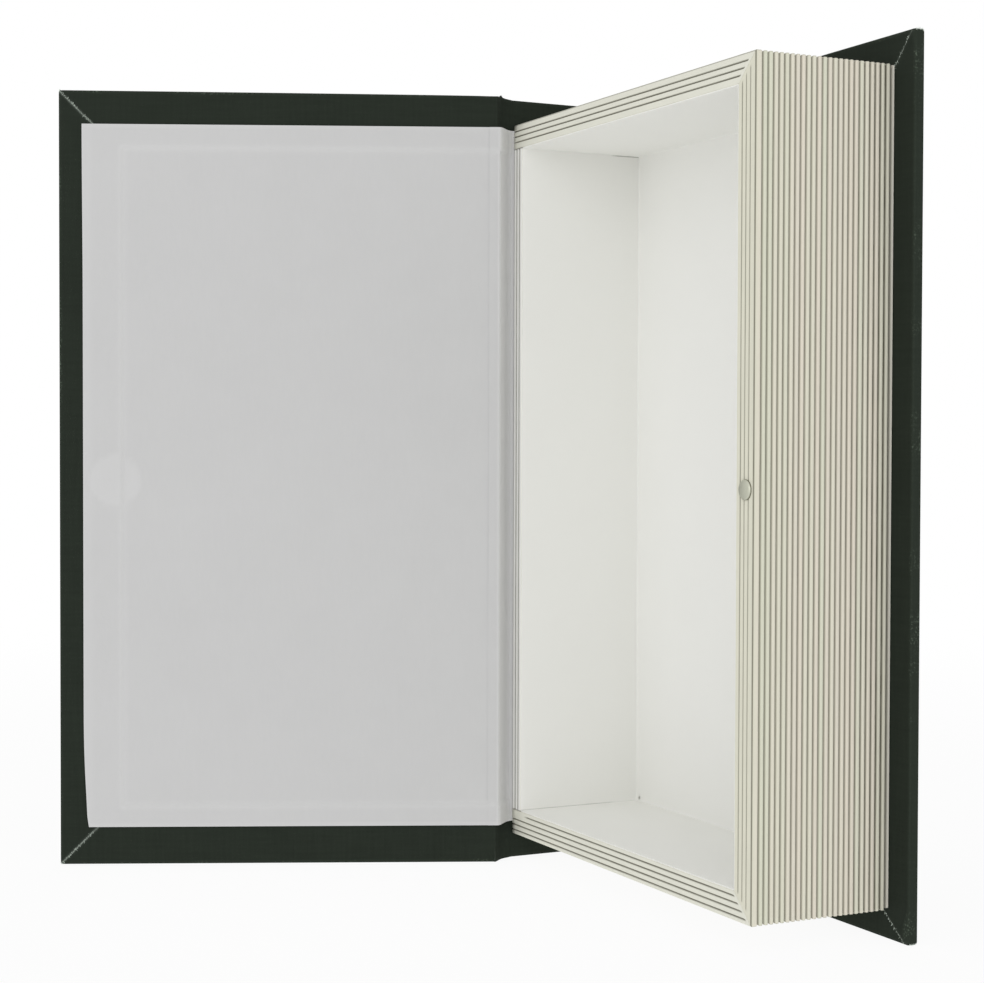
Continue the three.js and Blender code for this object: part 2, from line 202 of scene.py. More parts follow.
LINING_THICKNESS = 0.3
LINING_SWING = 1.3
LINING_STEP = 3.0
BORDER_STEPS = (0, 0.15, 0.35, 0.6, 0.9, 1.3, 2.0)
LINING_PAINTED_LIGHT = {"head_paper": 1.05, "tail_paper": 1.03, "spine_paper": 0.955}
GAPE_TOP, GAPE_BOTTOM = 36, 47.6

# Cut threads, the magnet and the stage. The stage is in metres, and the camera's place is in
# book millimetres, with its yaw, pitch and roll in degrees.

FIBRE_LENGTH, FIBRE_RADIUS, FIBRE_SCATTER = 0.6, 0.05, 0.1
DISC_STEPS = 72
FLOOR_HALF = 6.0
FLOOR_GREY_AND_GLOW, FLOOR_NEAR = 0.85, 0.93
LAMP_PLACE, LAMP_AIM, LAMP_SIZE = (1.35, -1.05, 0.3), (-0.02, 0.03, 0.13), 1.7
CAMERA_PLACE = (628.433, -317.370, 148.404)
CAMERA_TURN = (-63.819, -1.414, 0.151)
SENSOR_WIDTH = 36


def paint(red, green, blue):
    """A colour written as screen values from 0 to 255, as linear light."""
    def linear(value):
        value /= 255
        return value / 12.92 if value <= 0.04045 else ((value + 0.055) / 1.055) ** 2.4
    return (linear(red), linear(green), linear(blue))


# Settings that a user would change


def colour_setting(name, description, screen_values):
    """A colour property whose default is given as screen values."""
    return FloatVectorProperty(
        name=name, description=description, subtype="COLOR", size=3, min=0, max=1,
        default=paint(*screen_values))


def length_setting(name, description, millimetres):
    """A length property in metres whose default is given in millimetres."""
    return FloatProperty(
        name=name, description=description, unit="LENGTH", subtype="DISTANCE", min=0,
        precision=5, default=millimetres * MM)


class BookClothSettings(bpy.types.PropertyGroup):
    """The cloth of the case and its cut threads"""

    colour: colour_setting("Cloth", "Colour of the book cloth", (44, 50, 43))
    raw_colour: colour_setting("Raw edge", "Colour of cut and frayed threads", (215, 226, 214))
    thread_pitch: length_setting("Thread pitch", "Distance between threads of the weave", 0.5)
    fray_threads: IntProperty(
        name="Frayed threads", description="Loose threads along one mitre", min=0, default=100)
    seed: IntProperty(name="Seed", description="Seed of the frayed threads", default=11)


class EndpaperSettings(bpy.types.PropertyGroup):
    """The paper inside the front cover"""

    colour: colour_setting("Endpaper", "Colour of the paper inside the cover", (200, 200, 200))
    fore_inset: length_setting("Fore-edge inset", "Cloth left bare at the fore edge", 8.3)
    head_inset: length_setting("Head inset", "Cloth left bare at the head", 11.0)
    tail_inset: length_setting("Tail inset", "Cloth left bare at the tail", 13.2)
    tuck: length_setting("Tuck", "Depth of the paper tucked beside the tray", 8.0)
    ridge: length_setting("Ridge", "Step of the paper over the turned-in cloth", 0.36)
    disc_bump: length_setting("Disc bump", "Rise of the paper over the steel disc", 0.2)
    disc_diameter: length_setting("Disc diameter", "Diameter of the hidden steel disc", 18.0)


class LeafEdgeSettings(bpy.types.PropertyGroup):
    """The grooved walls of the tray"""

    colour: colour_setting("Leaves", "Colour of the painted leaf edges", (224, 221, 208))
    # The seam colour stands for the stain in the seams together with painted shade in them
    seam_colour: colour_setting("Seams", "Colour at the bottom of the seams", (90, 87, 72))
    first: length_setting("First seam", "Distance of the first seam from the mouth", 2.5)
    pitch: length_setting("Leaf pitch", "Distance between seams", 1.8875)
    groove_width: length_setting("Seam width", "Width of a seam between leaves", 0.84)
    groove_depth: length_setting("Seam depth", "Depth of a seam between leaves", 0.5)
    crown: length_setting("Crown", "Roundness of each leaf edge", 0.14)
    wander: length_setting("Wander", "How far a seam strays from straight", 0.1)
    rim_pitch: length_setting("Rim pitch", "Distance between the grooves in the rim", 1.92)
    rim_width: length_setting("Rim groove width", "Width of a groove in the rim", 0.62)
    rim_depth: length_setting("Rim groove depth", "Depth of a groove in the rim", 0.45)
    rim_stop: length_setting("Rim groove stop", "Distance of a groove's end from the mitre", 1.2)
    seed: IntProperty(name="Seed", description="Seed of the hand-cut look", default=5)


class LiningSettings(bpy.types.PropertyGroup):
    """The paper inside the tray"""

    colour: colour_setting("Lining", "Colour of the paper inside the tray", (240, 240, 236))
    wave: length_setting("Wave", "Unevenness of the pasted paper", 0.06)


class ClosureSettings(bpy.types.PropertyGroup):
    """The magnet in the rim"""

    colour: colour_setting("Magnet", "Colour of the plated magnet", (203, 204, 188))
    chamfer: length_setting("Chamfer", "Width of the bevel round the magnet", 0.35)


class StageSettings(bpy.types.PropertyGroup):
    """Light and camera"""

    ambient: FloatProperty(
        name="Ambient light", description="Strength of the light from all round", min=0,
        default=0.79)
    key_power: FloatProperty(
        name="Soft box", description="Power of the large soft lamp", min=0, unit="POWER",
        default=9.5)
    lens: FloatProperty(
        name="Lens", description="Focal length for a 36 mm wide sensor", unit="CAMERA",
        min=1, default=72.265)


# Node expressions


def math_node(operation):
    """A method that adds one Math node to the tree of its value."""
    def method(self, *others):
        return add(self.tree, "ShaderNodeMath", {"operation": operation},
                   dict(enumerate((self, *others))))
    return method


class Value:
    """A node socket in a Python expression. Each operator adds a Math node to its tree."""

    def __init__(self, tree, socket):
        self.tree = tree
        self.socket = socket

    __add__ = __radd__ = math_node("ADD")
    __mul__ = __rmul__ = math_node("MULTIPLY")
    __sub__ = math_node("SUBTRACT")
    __truediv__ = math_node("DIVIDE")
    __abs__ = math_node("ABSOLUTE")
    power = math_node("POWER")
    at_least = math_node("MAXIMUM")
    at_most = math_node("MINIMUM")
    over = math_node("GREATER_THAN")
    sine = math_node("SINE")
    rounded = math_node("ROUND")
    floor = math_node("FLOOR")

    def __neg__(self):
        return self * -1.0

    def __rsub__(self, other):
        return -self + other

    def output(self, name):
        """Another output of the same node."""
        return Value(self.tree, self.socket.node.outputs[name])


def add(tree, kind, settings=None, sockets=None, out=0):
    """Adds a node, with its settings first and then its sockets' values or links."""
    node = tree.nodes.new(kind)
    for name, value in (settings or {}).items():
        if name == "stops":
            ramp = node.color_ramp
            ramp.elements.remove(ramp.elements[-1])
            ramp.elements[0].position, ramp.elements[0].color = value[0]
            for position, colour in value[1:]:
                ramp.elements.new(position).color = colour
        else:
            setattr(node, name, value)
    for key, value in (sockets or {}).items():
        if isinstance(value, Value):
            tree.links.new(value.socket, node.inputs[key])
        else:
            node.inputs[key].default_value = value
    return Value(tree, node.outputs[out]) if node.outputs else None


def clamp(value):
    """The value kept from 0 to 1."""
    return value.at_least(0.0).at_most(1.0)


def ramp_between(value, low, high):
    """Smooth rise from 0 at low to 1 at high."""
    return add(value.tree, "ShaderNodeMapRange", {"interpolation_type": "SMOOTHSTEP"},
               {"Value": value, "From Min": low, "From Max": high, "To Min": 0.0, "To Max": 1.0})


def mix(factor, first, second, blend="MIX"):
    """A colour between two colours, which may be sockets or plain colours."""
    tree = next(part.tree for part in (factor, first, second) if isinstance(part, Value))
    return add(tree, "ShaderNodeMix", {"data_type": "RGBA", "blend_type": blend},
               {0: factor, 6: solid(first), 7: solid(second)}, out=2)


def solid(colour):
    """A plain colour with its alpha. A socket stays as it is."""
    return colour if isinstance(colour, Value) else (*colour, 1.0)


def shaded(colour, shade):
    """A colour times a grey."""
    grey = add(shade.tree, "ShaderNodeCombineColor", None, {0: shade, 1: shade, 2: shade})
    return mix(1.0, colour, grey, "MULTIPLY")


def times(colour, factor):
    """A plain colour made lighter or darker."""
    return tuple(min(1.0, part * factor) for part in colour)


def separate(vector):
    """The three parts of a vector."""
    x = add(vector.tree, "ShaderNodeSeparateXYZ", None, {"Vector": vector})
    return x, x.output("Y"), x.output("Z")


def combine(tree, x, y, z):
    """A vector from its three parts."""
    return add(tree, "ShaderNodeCombineXYZ", None, {"X": x, "Y": y, "Z": z})


def stretched(x, y, z, along_x, along_y, along_z):
    """A place with each part scaled, so that what is looked up there is drawn out."""
    return combine(x.tree, x * along_x, y * along_y, z * along_z)


def noise(vector, scale, detail=2.0, roughness=0.5, seed=0.0):
    """Smooth noise from 0 to 1, with scale in bumps per metre."""
    return add(vector.tree, "ShaderNodeTexNoise", {"noise_dimensions": "4D"}, {
        "Vector": vector, "W": seed, "Scale": scale, "Detail": detail, "Roughness": roughness})


def attribute(tree, name):
    """A number that the piece keeps at each point."""
    return add(tree, "ShaderNodeAttribute", {"attribute_name": name}, out="Fac")


class Finish:
    """A material under construction. where is the place on the piece."""

    def __init__(self, name, **constants):
        self.material = bpy.data.materials.new(name)
        self.material.use_nodes = True
        self.tree = self.material.node_tree
        self.tree.nodes.clear()
        output = self.tree.nodes.new("ShaderNodeOutputMaterial")
        self.shader = self.tree.nodes.new("ShaderNodeBsdfPrincipled")
        self.tree.links.new(self.shader.outputs[0], output.inputs["Surface"])
        for key, value in constants.items():
            self.shader.inputs[key.replace("_", " ")].default_value = value
        self.where = add(self.tree, "ShaderNodeTexCoord", out="Object")

    def done(self, colour, roughness, height=None, distance=0.0):
        """Sets colour, roughness and a bump, whose distance is in millimetres."""
        links = {"Base Color": colour, "Roughness": roughness}
        if height is not None:
            links["Normal"] = add(self.tree, "ShaderNodeBump", None, {
                "Height": height, "Distance": distance * MM, "Strength": 1.0})
        for key, value in links.items():
            self.tree.links.new(value.socket, self.shader.inputs[key])
        return self.material


# Geometry trees


def open_tree(name, kinds):
    """An empty geometry tree with named inputs, their identifiers, and a way to read them."""
    tree = bpy.data.node_groups.new(name, "GeometryNodeTree")
    sockets = {}
    for label, kind in (("Geometry", "Geometry"), *kinds, ("Material", "Material")):
        sockets[label] = tree.interface.new_socket(
            name=label, in_out="INPUT", socket_type="NodeSocket" + kind).identifier
    tree.interface.new_socket(name="Geometry", in_out="OUTPUT", socket_type="NodeSocketGeometry")
    return tree, sockets, add(tree, "NodeGroupInput").output


def close_tree(tree, geometry, material):
    """Ends a geometry tree in real meshes that carry their material."""
    real = add(tree, "GeometryNodeRealizeInstances", None, {"Geometry": geometry})
    finished = add(tree, "GeometryNodeSetMaterial", None,
                   {"Geometry": real, "Material": material})
    add(tree, "NodeGroupOutput", None, {0: finished})


def grow(piece, tree, sockets, values):
    """Runs a geometry tree on a piece, with its inputs set by socket identifier."""
    growth = piece.modifiers.new(tree.name, "NODES")
    growth.node_group = tree
    for name, value in values.items():
        growth[sockets[name]] = value
    return settle(piece)


# Mesh helpers


def place(points):
    """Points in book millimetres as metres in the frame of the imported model."""
    moved = np.asarray(points, float).reshape(-1, 3) * MM
    return moved + np.array([TRAY_CORNER.x, TRAY_CORNER.y, 0.0])


def link(name, mesh):
    """A new object in the scene that carries the mesh."""
    piece = bpy.data.objects.new(name, mesh)
    bpy.context.scene.collection.objects.link(piece)
    return piece


def new_piece(name, points, faces, material=None, weave=None, numbers=None, vectors=None):
    """A smooth mesh object from points in book millimetres.

    weave is a pair of lengths along the cloth. numbers and vectors are kept at each point.
    """
    points = np.asarray(points, float)
    shape = points.shape[:-1]
    mesh = bpy.data.meshes.new(name)
    mesh.from_pydata(place(points).tolist(), [], [list(map(int, face)) for face in faces])
    if weave is not None:
        layer = mesh.uv_layers.new(name="weave")
        corners = np.empty(len(mesh.loops), int)
        mesh.loops.foreach_get("vertex_index", corners)
        uvs = np.stack([np.broadcast_to(part, shape) for part in weave], -1).reshape(-1, 2)
        layer.data.foreach_set("uv", (uvs * MM)[corners].ravel())
    for key, values in (numbers or {}).items():
        mesh.attributes.new(key, "FLOAT", "POINT").data.foreach_set(
            "value", np.broadcast_to(values, shape).astype(np.float32).ravel())
    for key, values in (vectors or {}).items():
        mesh.attributes.new(key, "FLOAT_VECTOR", "POINT").data.foreach_set(
            "vector", np.broadcast_to(values, points.shape).astype(np.float32).ravel())
    mesh.polygons.foreach_set("use_smooth", [True] * len(mesh.polygons))
    if material:
        mesh.materials.append(material)
    return link(name, mesh)


def grid_faces(rows, columns, first=0, turned=False):
    """Four-sided faces between the points of a grid."""
    row, column = np.meshgrid(np.arange(rows - 1), np.arange(columns - 1), indexing="ij")
    corner = first + row * columns + column
    quads = np.stack([corner, corner + 1, corner + columns + 1, corner + columns], -1)
    quads = quads.reshape(-1, 4)
    return quads[:, ::-1] if turned else quads


def sheet(name, grid, material, weave, numbers, turned=False):
    """A thin skin through a grid of points."""
    faces = grid_faces(*grid.shape[:2], turned=turned)
    return new_piece(name, grid, faces, material, weave, numbers)


def edit_mesh(piece, change):
    """Makes one change to the mesh of a piece."""
    mesh = bmesh.new()
    mesh.from_mesh(piece.data)
    change(mesh)
    mesh.to_mesh(piece.data)
    mesh.free()


def weld(piece):
    """Joins the points of a piece that lie in the same place."""
    edit_mesh(piece, lambda mesh: bmesh.ops.remove_doubles(mesh, verts=mesh.verts, dist=WELD))


def face_outwards(piece):
    """Turns all the faces of a closed piece outward."""
    edit_mesh(piece, lambda mesh: bmesh.ops.recalc_face_normals(mesh, faces=mesh.faces))


def settle(piece):
    """Takes the result of the modifiers as the piece's own mesh."""
    bpy.context.view_layer.update()
    evaluated = piece.evaluated_get(bpy.context.evaluated_depsgraph_get())
    result = bpy.data.meshes.new_from_object(evaluated)
    piece.modifiers.clear()
    piece.data = result
    return piece


def thicken(piece, thickness):
    """Gives a sheet its thickness behind its outer face."""
    layer = piece.modifiers.new("thickness", "SOLIDIFY")
    layer.thickness = thickness * MM
    layer.offset = -1
    settle(piece)
    piece.data.set_sharp_from_angle(angle=SHARP_BORDER)
    return piece


def smooth_line(points):
    """A smooth line through the points, with the same count of steps between each two."""
    points = np.asarray(points, float)
    padded = np.vstack([2 * points[0] - points[1], points, 2 * points[-1] - points[-2]])
    line = []
    for index in range(len(points) - 1):
        p0, p1, p2, p3 = padded[index:index + 4]
        for t in np.arange(LINE_STEPS) / LINE_STEPS:
            line.append(0.5 * (2 * p1 + (p2 - p0) * t + (2 * p0 - 5 * p1 + 4 * p2 - p3) * t ** 2
                               + (3 * p1 - p0 - 3 * p2 + p3) * t ** 3))
    line.append(points[-1])
    return np.array(line)


def run_lengths(line):
    """Length along a line at each of its points."""
    return np.concatenate([[0], np.cumsum(np.linalg.norm(np.diff(line, axis=0), axis=1))])


def smoothstep(value):
    """Smooth rise from 0 to 1 while the value rises from 0 to 1."""
    value = np.clip(value, 0, 1)
    return value * value * (3 - 2 * value)


def bell(distance, width):
    """1 at no distance, and a smooth fall on both sides."""
    return np.exp(-(distance / width) ** 2)


def on_front_cover(across, inward, height):
    """Points of the open front cover: across from its hinge edge, inward from its outer face.

    The cloth's head edge stands a little higher towards the fore edge.
    """
    out = COVER_FOLD - COVER_THICKNESS * COVER_FACING
    share = np.clip((across - SEAM_START) / (COVER_WIDTH - SEAM_START), 0, 1)
    height = height + HEAD_RISE * share ** 0.6 * smoothstep((height - COVER_HEIGHT + 9) / 8)
    x = out[0] + across * COVER_RUN[0] + inward * COVER_FACING[0]
    y = out[1] + across * COVER_RUN[1] + inward * COVER_FACING[1]
    return np.stack(np.broadcast_arrays(x, y, height), -1)


def on_back_cover(across, inward, height):
    """Points of the back cover, measured like those of the front cover."""
    return np.stack(np.broadcast_arrays(
        JOINT_WIDTH + across, BACK_OUTER - inward, height), -1)


def on_joint(along, outward):
    """Plan point on the open front joint, along from the fold at the spine."""
    return SPINE_FOLD + along * JOINT_RUN + outward * JOINT_OUTWARD


# Book cloth


def book_cloth(settings):
    """Fine plain weave with slubs, rubbed edges and raw cuts."""
    finish = Finish("book_cloth", Specular_IOR_Level=0.05)
    u, v, flat = separate(add(finish.tree, "ShaderNodeUVMap", {"uv_map": "weave"}))
    turns = 2 * math.pi / settings.thread_pitch
    thread = (u * turns).sine() * (v * turns).sine() * 0.5 + 0.5
    slub = noise(stretched(u, v, flat, 1, 0.06, 1), 900.0)
    cross_slub = noise(stretched(u, v, flat, 0.06, 1, 1), 900.0, seed=3.0)
    patch = noise(finish.where, 35.0, 3.0)
    shade = 0.80 + thread * 0.16 + (slub + cross_slub - 1.0) * 0.22 + (patch - 0.5) * 0.2
    fleck = ramp_between(noise(finish.where, 1400.0, 3.0, 0.7), 0.5, 0.72)
    scuff = ramp_between(noise(finish.where, 45.0, 3.0, 0.6, 7.0), 0.52, 0.66) * fleck
    rubbed = clamp(attribute(finish.tree, "edge") * (0.06 + fleck * 0.1 + scuff * 1.6))
    loose = clamp(attribute(finish.tree, "raw") * (0.45 + fleck * 0.9))
    worn = mix(rubbed, shaded(settings.colour, shade), times(settings.colour, 4.5))
    return finish.done(mix(loose, worn, settings.raw_colour), 0.78 + patch * 0.12,
                       thread * 0.6 + slub * 0.5 + cross_slub * 0.5, 0.07)


def edge_profile():
    """Section over the edge of a covered board, from the raw edge inside to the outer face.

    Gives the distance from the edge, the depth from the outer face, the length along the
    cloth from the edge (negative inside), and how much the place is rubbed.
    """
    arc = np.linspace(0, math.pi / 2, EDGE_STEPS)
    rows = [(step, COVER_THICKNESS, 0.0) for step in FLAT_STEPS[::-1]]
    rows += [(EDGE_ROUND - EDGE_ROUND * math.sin(angle), COVER_THICKNESS - EDGE_ROUND
              + EDGE_ROUND * math.cos(angle), math.sin(2 * angle) * 0.5 + 0.5) for angle in arc]
    middle = len(rows)
    rows.append((0.0, COVER_THICKNESS / 2, 0.6))
    rows += [(EDGE_ROUND - EDGE_ROUND * math.cos(angle), EDGE_ROUND
              - EDGE_ROUND * math.sin(angle), math.sin(2 * angle) * 0.5 + 0.5) for angle in arc]
    rows += [(step, 0.0, 0.0) for step in FLAT_STEPS]
    rows = np.array(rows)
    length = run_lengths(rows[:, :2])
    return rows[:, 0], rows[:, 1], length - length[middle], rows[:, 2]


def dense_near_ends(count, near_start, near_end):
    """Shares from 0 to 1 that crowd towards the ends that are asked for."""
    share = np.linspace(0, 1, count)
    crowd = (0.0008, 0.0016, 0.003, 0.005, 0.008, 0.013, 0.025)
    extra = []
    if near_start:
        extra += list(crowd)
    if near_end:
        extra += [1 - c for c in crowd]
    return np.unique(np.round(np.concatenate([share, extra]), 6))


def round_corner(across, height):
    """Draws the fore-edge corners of a cover in to their small radius."""
    dx = across - (COVER_WIDTH - CORNER_ROUND)
    top = height > COVER_HEIGHT / 2
    dz = np.where(top, height - (COVER_HEIGHT - CORNER_ROUND), CORNER_ROUND - height)
    inside = (dx > 0) & (dz > 0)
    longest = np.maximum(np.maximum(dx, dz), 1e-9)
    shrink = np.where(inside, longest / np.maximum(np.hypot(dx, dz), 1e-9), 1)
    across = np.where(inside, COVER_WIDTH - CORNER_ROUND + dx * shrink, across)
    moved = np.where(top, COVER_HEIGHT - CORNER_ROUND + dz * shrink, CORNER_ROUND - dz * shrink)
    return across, np.where(inside, moved, height)


def drifted(across, height, drift):
    """Shifts the mitres of a cover, which were cut by eye, along the cover."""
    moved, from_fore = across, COVER_WIDTH - across
    for from_end, (at_corner, further_in) in zip((height, COVER_HEIGHT - height), drift):
        near = smoothstep(1 - abs(from_fore - from_end) / MITRE_REACH)
        share = np.clip(from_end / MITRE_SEEN, 0, 1)
        moved = moved + near * (at_corner + (further_in - at_corner) * share)
    return moved


def cover_cloth(name, lay_out, material, flip, drift, paleness):
    """The cloth of one cover: outer face, three edges and mitred turn-ins, in one skin."""
    along_cover = dense_near_ends(40, False, True)[:, None]
    along_fore = dense_near_ends(60, True, True)
    edge, depth, run, rub = (part[None, :] for part in edge_profile())
    inner = (run < 0) & (edge > EDGE_ROUND * 0.5) & (depth > COVER_THICKNESS / 2)
    mitre = np.where(inner, MITRE_GAP / 2 * math.sqrt(2), 0)
    patches = []

    def patch(across, height, depth, weave, rub, cut, turn):
        across, height = round_corner(across, height)
        first = sum(len(part[0]) for part in patches)
        kept = [np.broadcast_to(values, across.shape).ravel() for values in (*weave, rub, cut)]
        patches.append((lay_out(across, depth, height).reshape(-1, 3),
                        grid_faces(*across.shape, first, turn), *kept))

    def shifted(across, height):
        return np.where(inner, drifted(across, height, drift), across)

    def pale(from_tip):
        return np.where(inner, paleness * np.exp(-from_tip / CUT_FADE), 0)

    end = COVER_WIDTH - edge
    across = SEAM_START + along_cover * (end - mitre - SEAM_START)
    for at_head in (True, False):
        height = COVER_HEIGHT - edge if at_head else edge
        moved = shifted(across, height)
        patch(moved, height, depth, (moved, COVER_HEIGHT - run if at_head else run), rub,
              pale(end - across), flip == at_head)
    low, high = edge + mitre, COVER_HEIGHT - edge - mitre
    height = low + along_fore[:, None] * (high - low)
    from_tip = np.minimum(height - edge, COVER_HEIGHT - edge - height)
    lift = np.where(inner, LAP_LIFT * np.exp(-from_tip / LAP_FADE), 0)
    patch(shifted(end, height), height, depth + lift, (COVER_WIDTH - run, height), rub,
          pale(from_tip), not flip)
    across = SEAM_START + along_cover * (COVER_WIDTH - TURN_IN - SEAM_START)
    height = TURN_IN + along_fore[None, :] * (COVER_HEIGHT - 2 * TURN_IN)
    patch(across, height, 0, (across, height), 0, 0, not flip)
    points, faces, cloth_u, cloth_v, rubbed, raw = map(np.concatenate, zip(*patches))
    piece = new_piece(name, points, faces, material, (cloth_u, cloth_v),
                      {"edge": rubbed, "raw": raw})
    weld(piece)
    return thicken(piece, CLOTH_THICKNESS)


def case_cloth(name, outer, inner, material, head_bump=None, fold=None):
    """Cloth that runs in plan along an outer line, with its turn-ins along an inner line."""
    outer, inner = smooth_line(outer), smooth_line(inner)
    through = (inner - outer)[:, None]
    gap = np.linalg.norm(through, axis=-1)
    run = run_lengths(outer)[:, None]
    edge, depth, length, rub = edge_profile()
    squeeze = np.minimum(EDGE_ROUND, gap * 0.45) / EDGE_ROUND
    edge = np.where(edge < EDGE_ROUND, edge * squeeze, edge)
    middle = np.linspace(TURN_IN, COVER_HEIGHT - TURN_IN, 60)[1:-1]
    bump = 0 * edge
    if head_bump:
        rise, place_along, width = head_bump
        bump = rise * bell(run - place_along, width) * np.exp(-edge / 3)
    height = np.hstack([edge - bump * 0.3, np.tile(middle, (len(outer), 1)),
                        (COVER_HEIGHT - edge + bump)[:, ::-1]])
    share = np.concatenate([depth, 0 * middle, depth[::-1]]) / COVER_THICKNESS
    flat = outer[:, None] + share[:, None] * through
    cut = 0
    if fold:
        rise, place_along, width = fold
        beside = bell(np.arange(len(outer))[:, None] / len(outer) - place_along, width)
        on_fold = beside * share * smoothstep((FOLD_TOP - height) / 1.5)
        flat = flat + through / gap[..., None] * rise * on_fold[..., None]
        cut = on_fold * (0.08 + 0.3 * bell(height - FOLD_TOP + 0.9, 0.5))
    piece = sheet(name, np.dstack([flat, height]), material,
                  (run, np.concatenate([length, middle, COVER_HEIGHT - length[::-1]])),
                  {"edge": np.concatenate([rub, 0 * middle, rub[::-1]]) * 0.7, "raw": cut}, True)
    return thicken(piece, CLOTH_THICKNESS)


def spine_lines():
    """Outer and inner plan lines from the back cover round the groove and along the spine."""
    back = BACK_OUTER
    face = back - COVER_THICKNESS
    near = JOINT_WIDTH
    outer = [
        (near + SEAM_START, back), (near + 1.2, back), (near + 0.3, back - 0.15),
        (near - 0.6, back - 0.95), (near - 1.8, back - 1.7), (near / 2, back - 1.9),
        (2.0, back - 1.85), (0.0, back - 1.65), (-1.6, back - 1.7), (-2.9, back - 2.2),
        (SPINE_OUTER + 0.2, face - 0.1), (SPINE_OUTER, face - 1.3), (SPINE_OUTER, face - 4),
        (SPINE_OUTER, face * 0.6), (SPINE_OUTER, 10), (SPINE_OUTER, 3)]
    inner = [
        (near + SEAM_START, face), (near + 1.2, face), (near + 0.3, face),
        (near - 0.6, face + 0.05), (near - 1.8, face + 0.1), (near / 2, face + 0.1),
        (2.0, face + 0.1), (0.3, face + 0.1), (-0.1, face + 0.08), (-0.4, face - 0.05),
        (SPINE_FACE + 0.05, face - 0.4), (SPINE_FACE, face - 1.3), (SPINE_FACE, face - 4),
        (SPINE_FACE, face * 0.6), (SPINE_FACE, 10), (SPINE_FACE, 3)]
    return outer, inner


def joint_lines():
    """Outer and inner plan lines of the cloth from the spine to the open front cover."""
    sag = dict(JOINT_SAG)
    outer = [
        (SPINE_OUTER, 3), (SPINE_OUTER, 1), (SPINE_OUTER, -0.3), (SPINE_OUTER + 0.2, -0.95),
        (SPINE_OUTER + 0.75, -1.2), (-2.4, -1.25), (-1.5, -1.4),
        on_joint(2.0, sag[2.0] + 0.7), on_joint(3.2, sag[3.2] + 0.75),
        on_joint(4.5, sag[4.5] + 0.75)]
    inner = [
        (SPINE_FACE, 3), (SPINE_FACE, 1), (SPINE_FACE, 0.4), (SPINE_FACE, 0.1),
        (SPINE_FACE, -0.3), (SPINE_FACE + 0.02, -0.6), on_joint(0.9, 0.62),
        on_joint(2.0, sag[2.0] + 0.1), on_joint(3.2, sag[3.2] + 0.1),
        on_joint(4.5, sag[4.5] + 0.1)]
    rim = COVER_FOLD - COVER_THICKNESS * COVER_FACING
    cover_outer = [
        on_joint(4.5, sag[4.5] + 0.75), on_joint(5.4, 1.82), rim + 1.02 * -COVER_RUN - (0.25, 0),
        rim + 0.35 * -COVER_RUN - (0.12, 0), rim + 0.35 * COVER_RUN, rim + 1.0 * COVER_RUN,
        rim + 2.0 * COVER_RUN, rim + SEAM_START * COVER_RUN]
    cover_inner = [
        on_joint(4.5, sag[4.5] + 0.1), on_joint(6.0, sag[6.0] + 0.1), on_joint(7.5, 0.7),
        on_joint(8.8, 0.28), COVER_FOLD + 0.1 * COVER_RUN, COVER_FOLD + 0.9 * COVER_RUN,
        COVER_FOLD + 2.0 * COVER_RUN, COVER_FOLD + SEAM_START * COVER_RUN]
    return (outer, inner), (cover_outer, cover_inner)


# Endpaper


def endpaper_finish(settings):
    """Pale pasted paper with soft mottling and a slight tooth."""
    finish = Finish("endpaper", Specular_IOR_Level=0.3)
    mottle = noise(finish.where, 60.0, 4.0, 0.6)
    cloud = noise(finish.where, 9.0)
    tooth = noise(finish.where, 2600.0)
    fibre = noise(stretched(*separate(finish.where), 1, 1, 0.25), 700.0, 3.0, 0.65)
    shade = 0.985 + (mottle - 0.5) * 0.05 + (cloud - 0.5) * 0.05 + (fibre - 0.5) * 0.035
    # The edge number makes the paper paler: rubbed lines, and painted light over the joint
    colour = mix(attribute(finish.tree, "edge") * 0.35, shaded(settings.colour, shade),
                 times(settings.colour, 1.22))
    return finish.done(colour, 0.8 + mottle * 0.12,
                       tooth * 0.5 + fibre * 0.5 + mottle * 0.6, 0.035)


def from_disc(across, height):
    """Distance from the middle of the hidden steel disc."""
    return np.hypot(across - (COVER_WIDTH - DISC_INSET), height - COVER_HEIGHT / 2)


def on_turn_ins(height):
    """How far the paper lies on the turned-in cloth at the head and at the tail."""
    return (smoothstep((height - (COVER_HEIGHT - HEAD_STEP)) / STEP_WIDTH),
            smoothstep((TAIL_STEP - height) / STEP_WIDTH))


def paper_rise(settings, across, height):
    """Rise of the endpaper above the inner face of the covered board."""
    fore = smoothstep((across - (COVER_WIDTH - FORE_STEP)) / STEP_WIDTH)
    head, tail = on_turn_ins(height)
    on_cloth = 1 - (1 - fore) * (1 - head) * (1 - tail)
    crest = (bell(across - (COVER_WIDTH - FORE_CREST), 0.9) * (1 - head) * (1 - tail)
             + bell(height - (COVER_HEIGHT - HEAD_CREST), 0.9) * (1 - fore)
             + bell(height - TAIL_CREST, 0.9) * (1 - fore))
    ridge = settings.ridge / MM
    radius = settings.disc_diameter / MM / 2
    disc = settings.disc_bump / MM * smoothstep((radius + 0.9 - from_disc(across, height)) / 1.5)
    wave = 0.03 * np.sin(across / 17 + 1) * np.sin(height / 23) \
        + 0.02 * np.sin(across / 7.3 + height / 11)
    return PAPER_GLUE - ridge + ridge * on_cloth + ridge * CREST_SHARE * crest + disc + wave


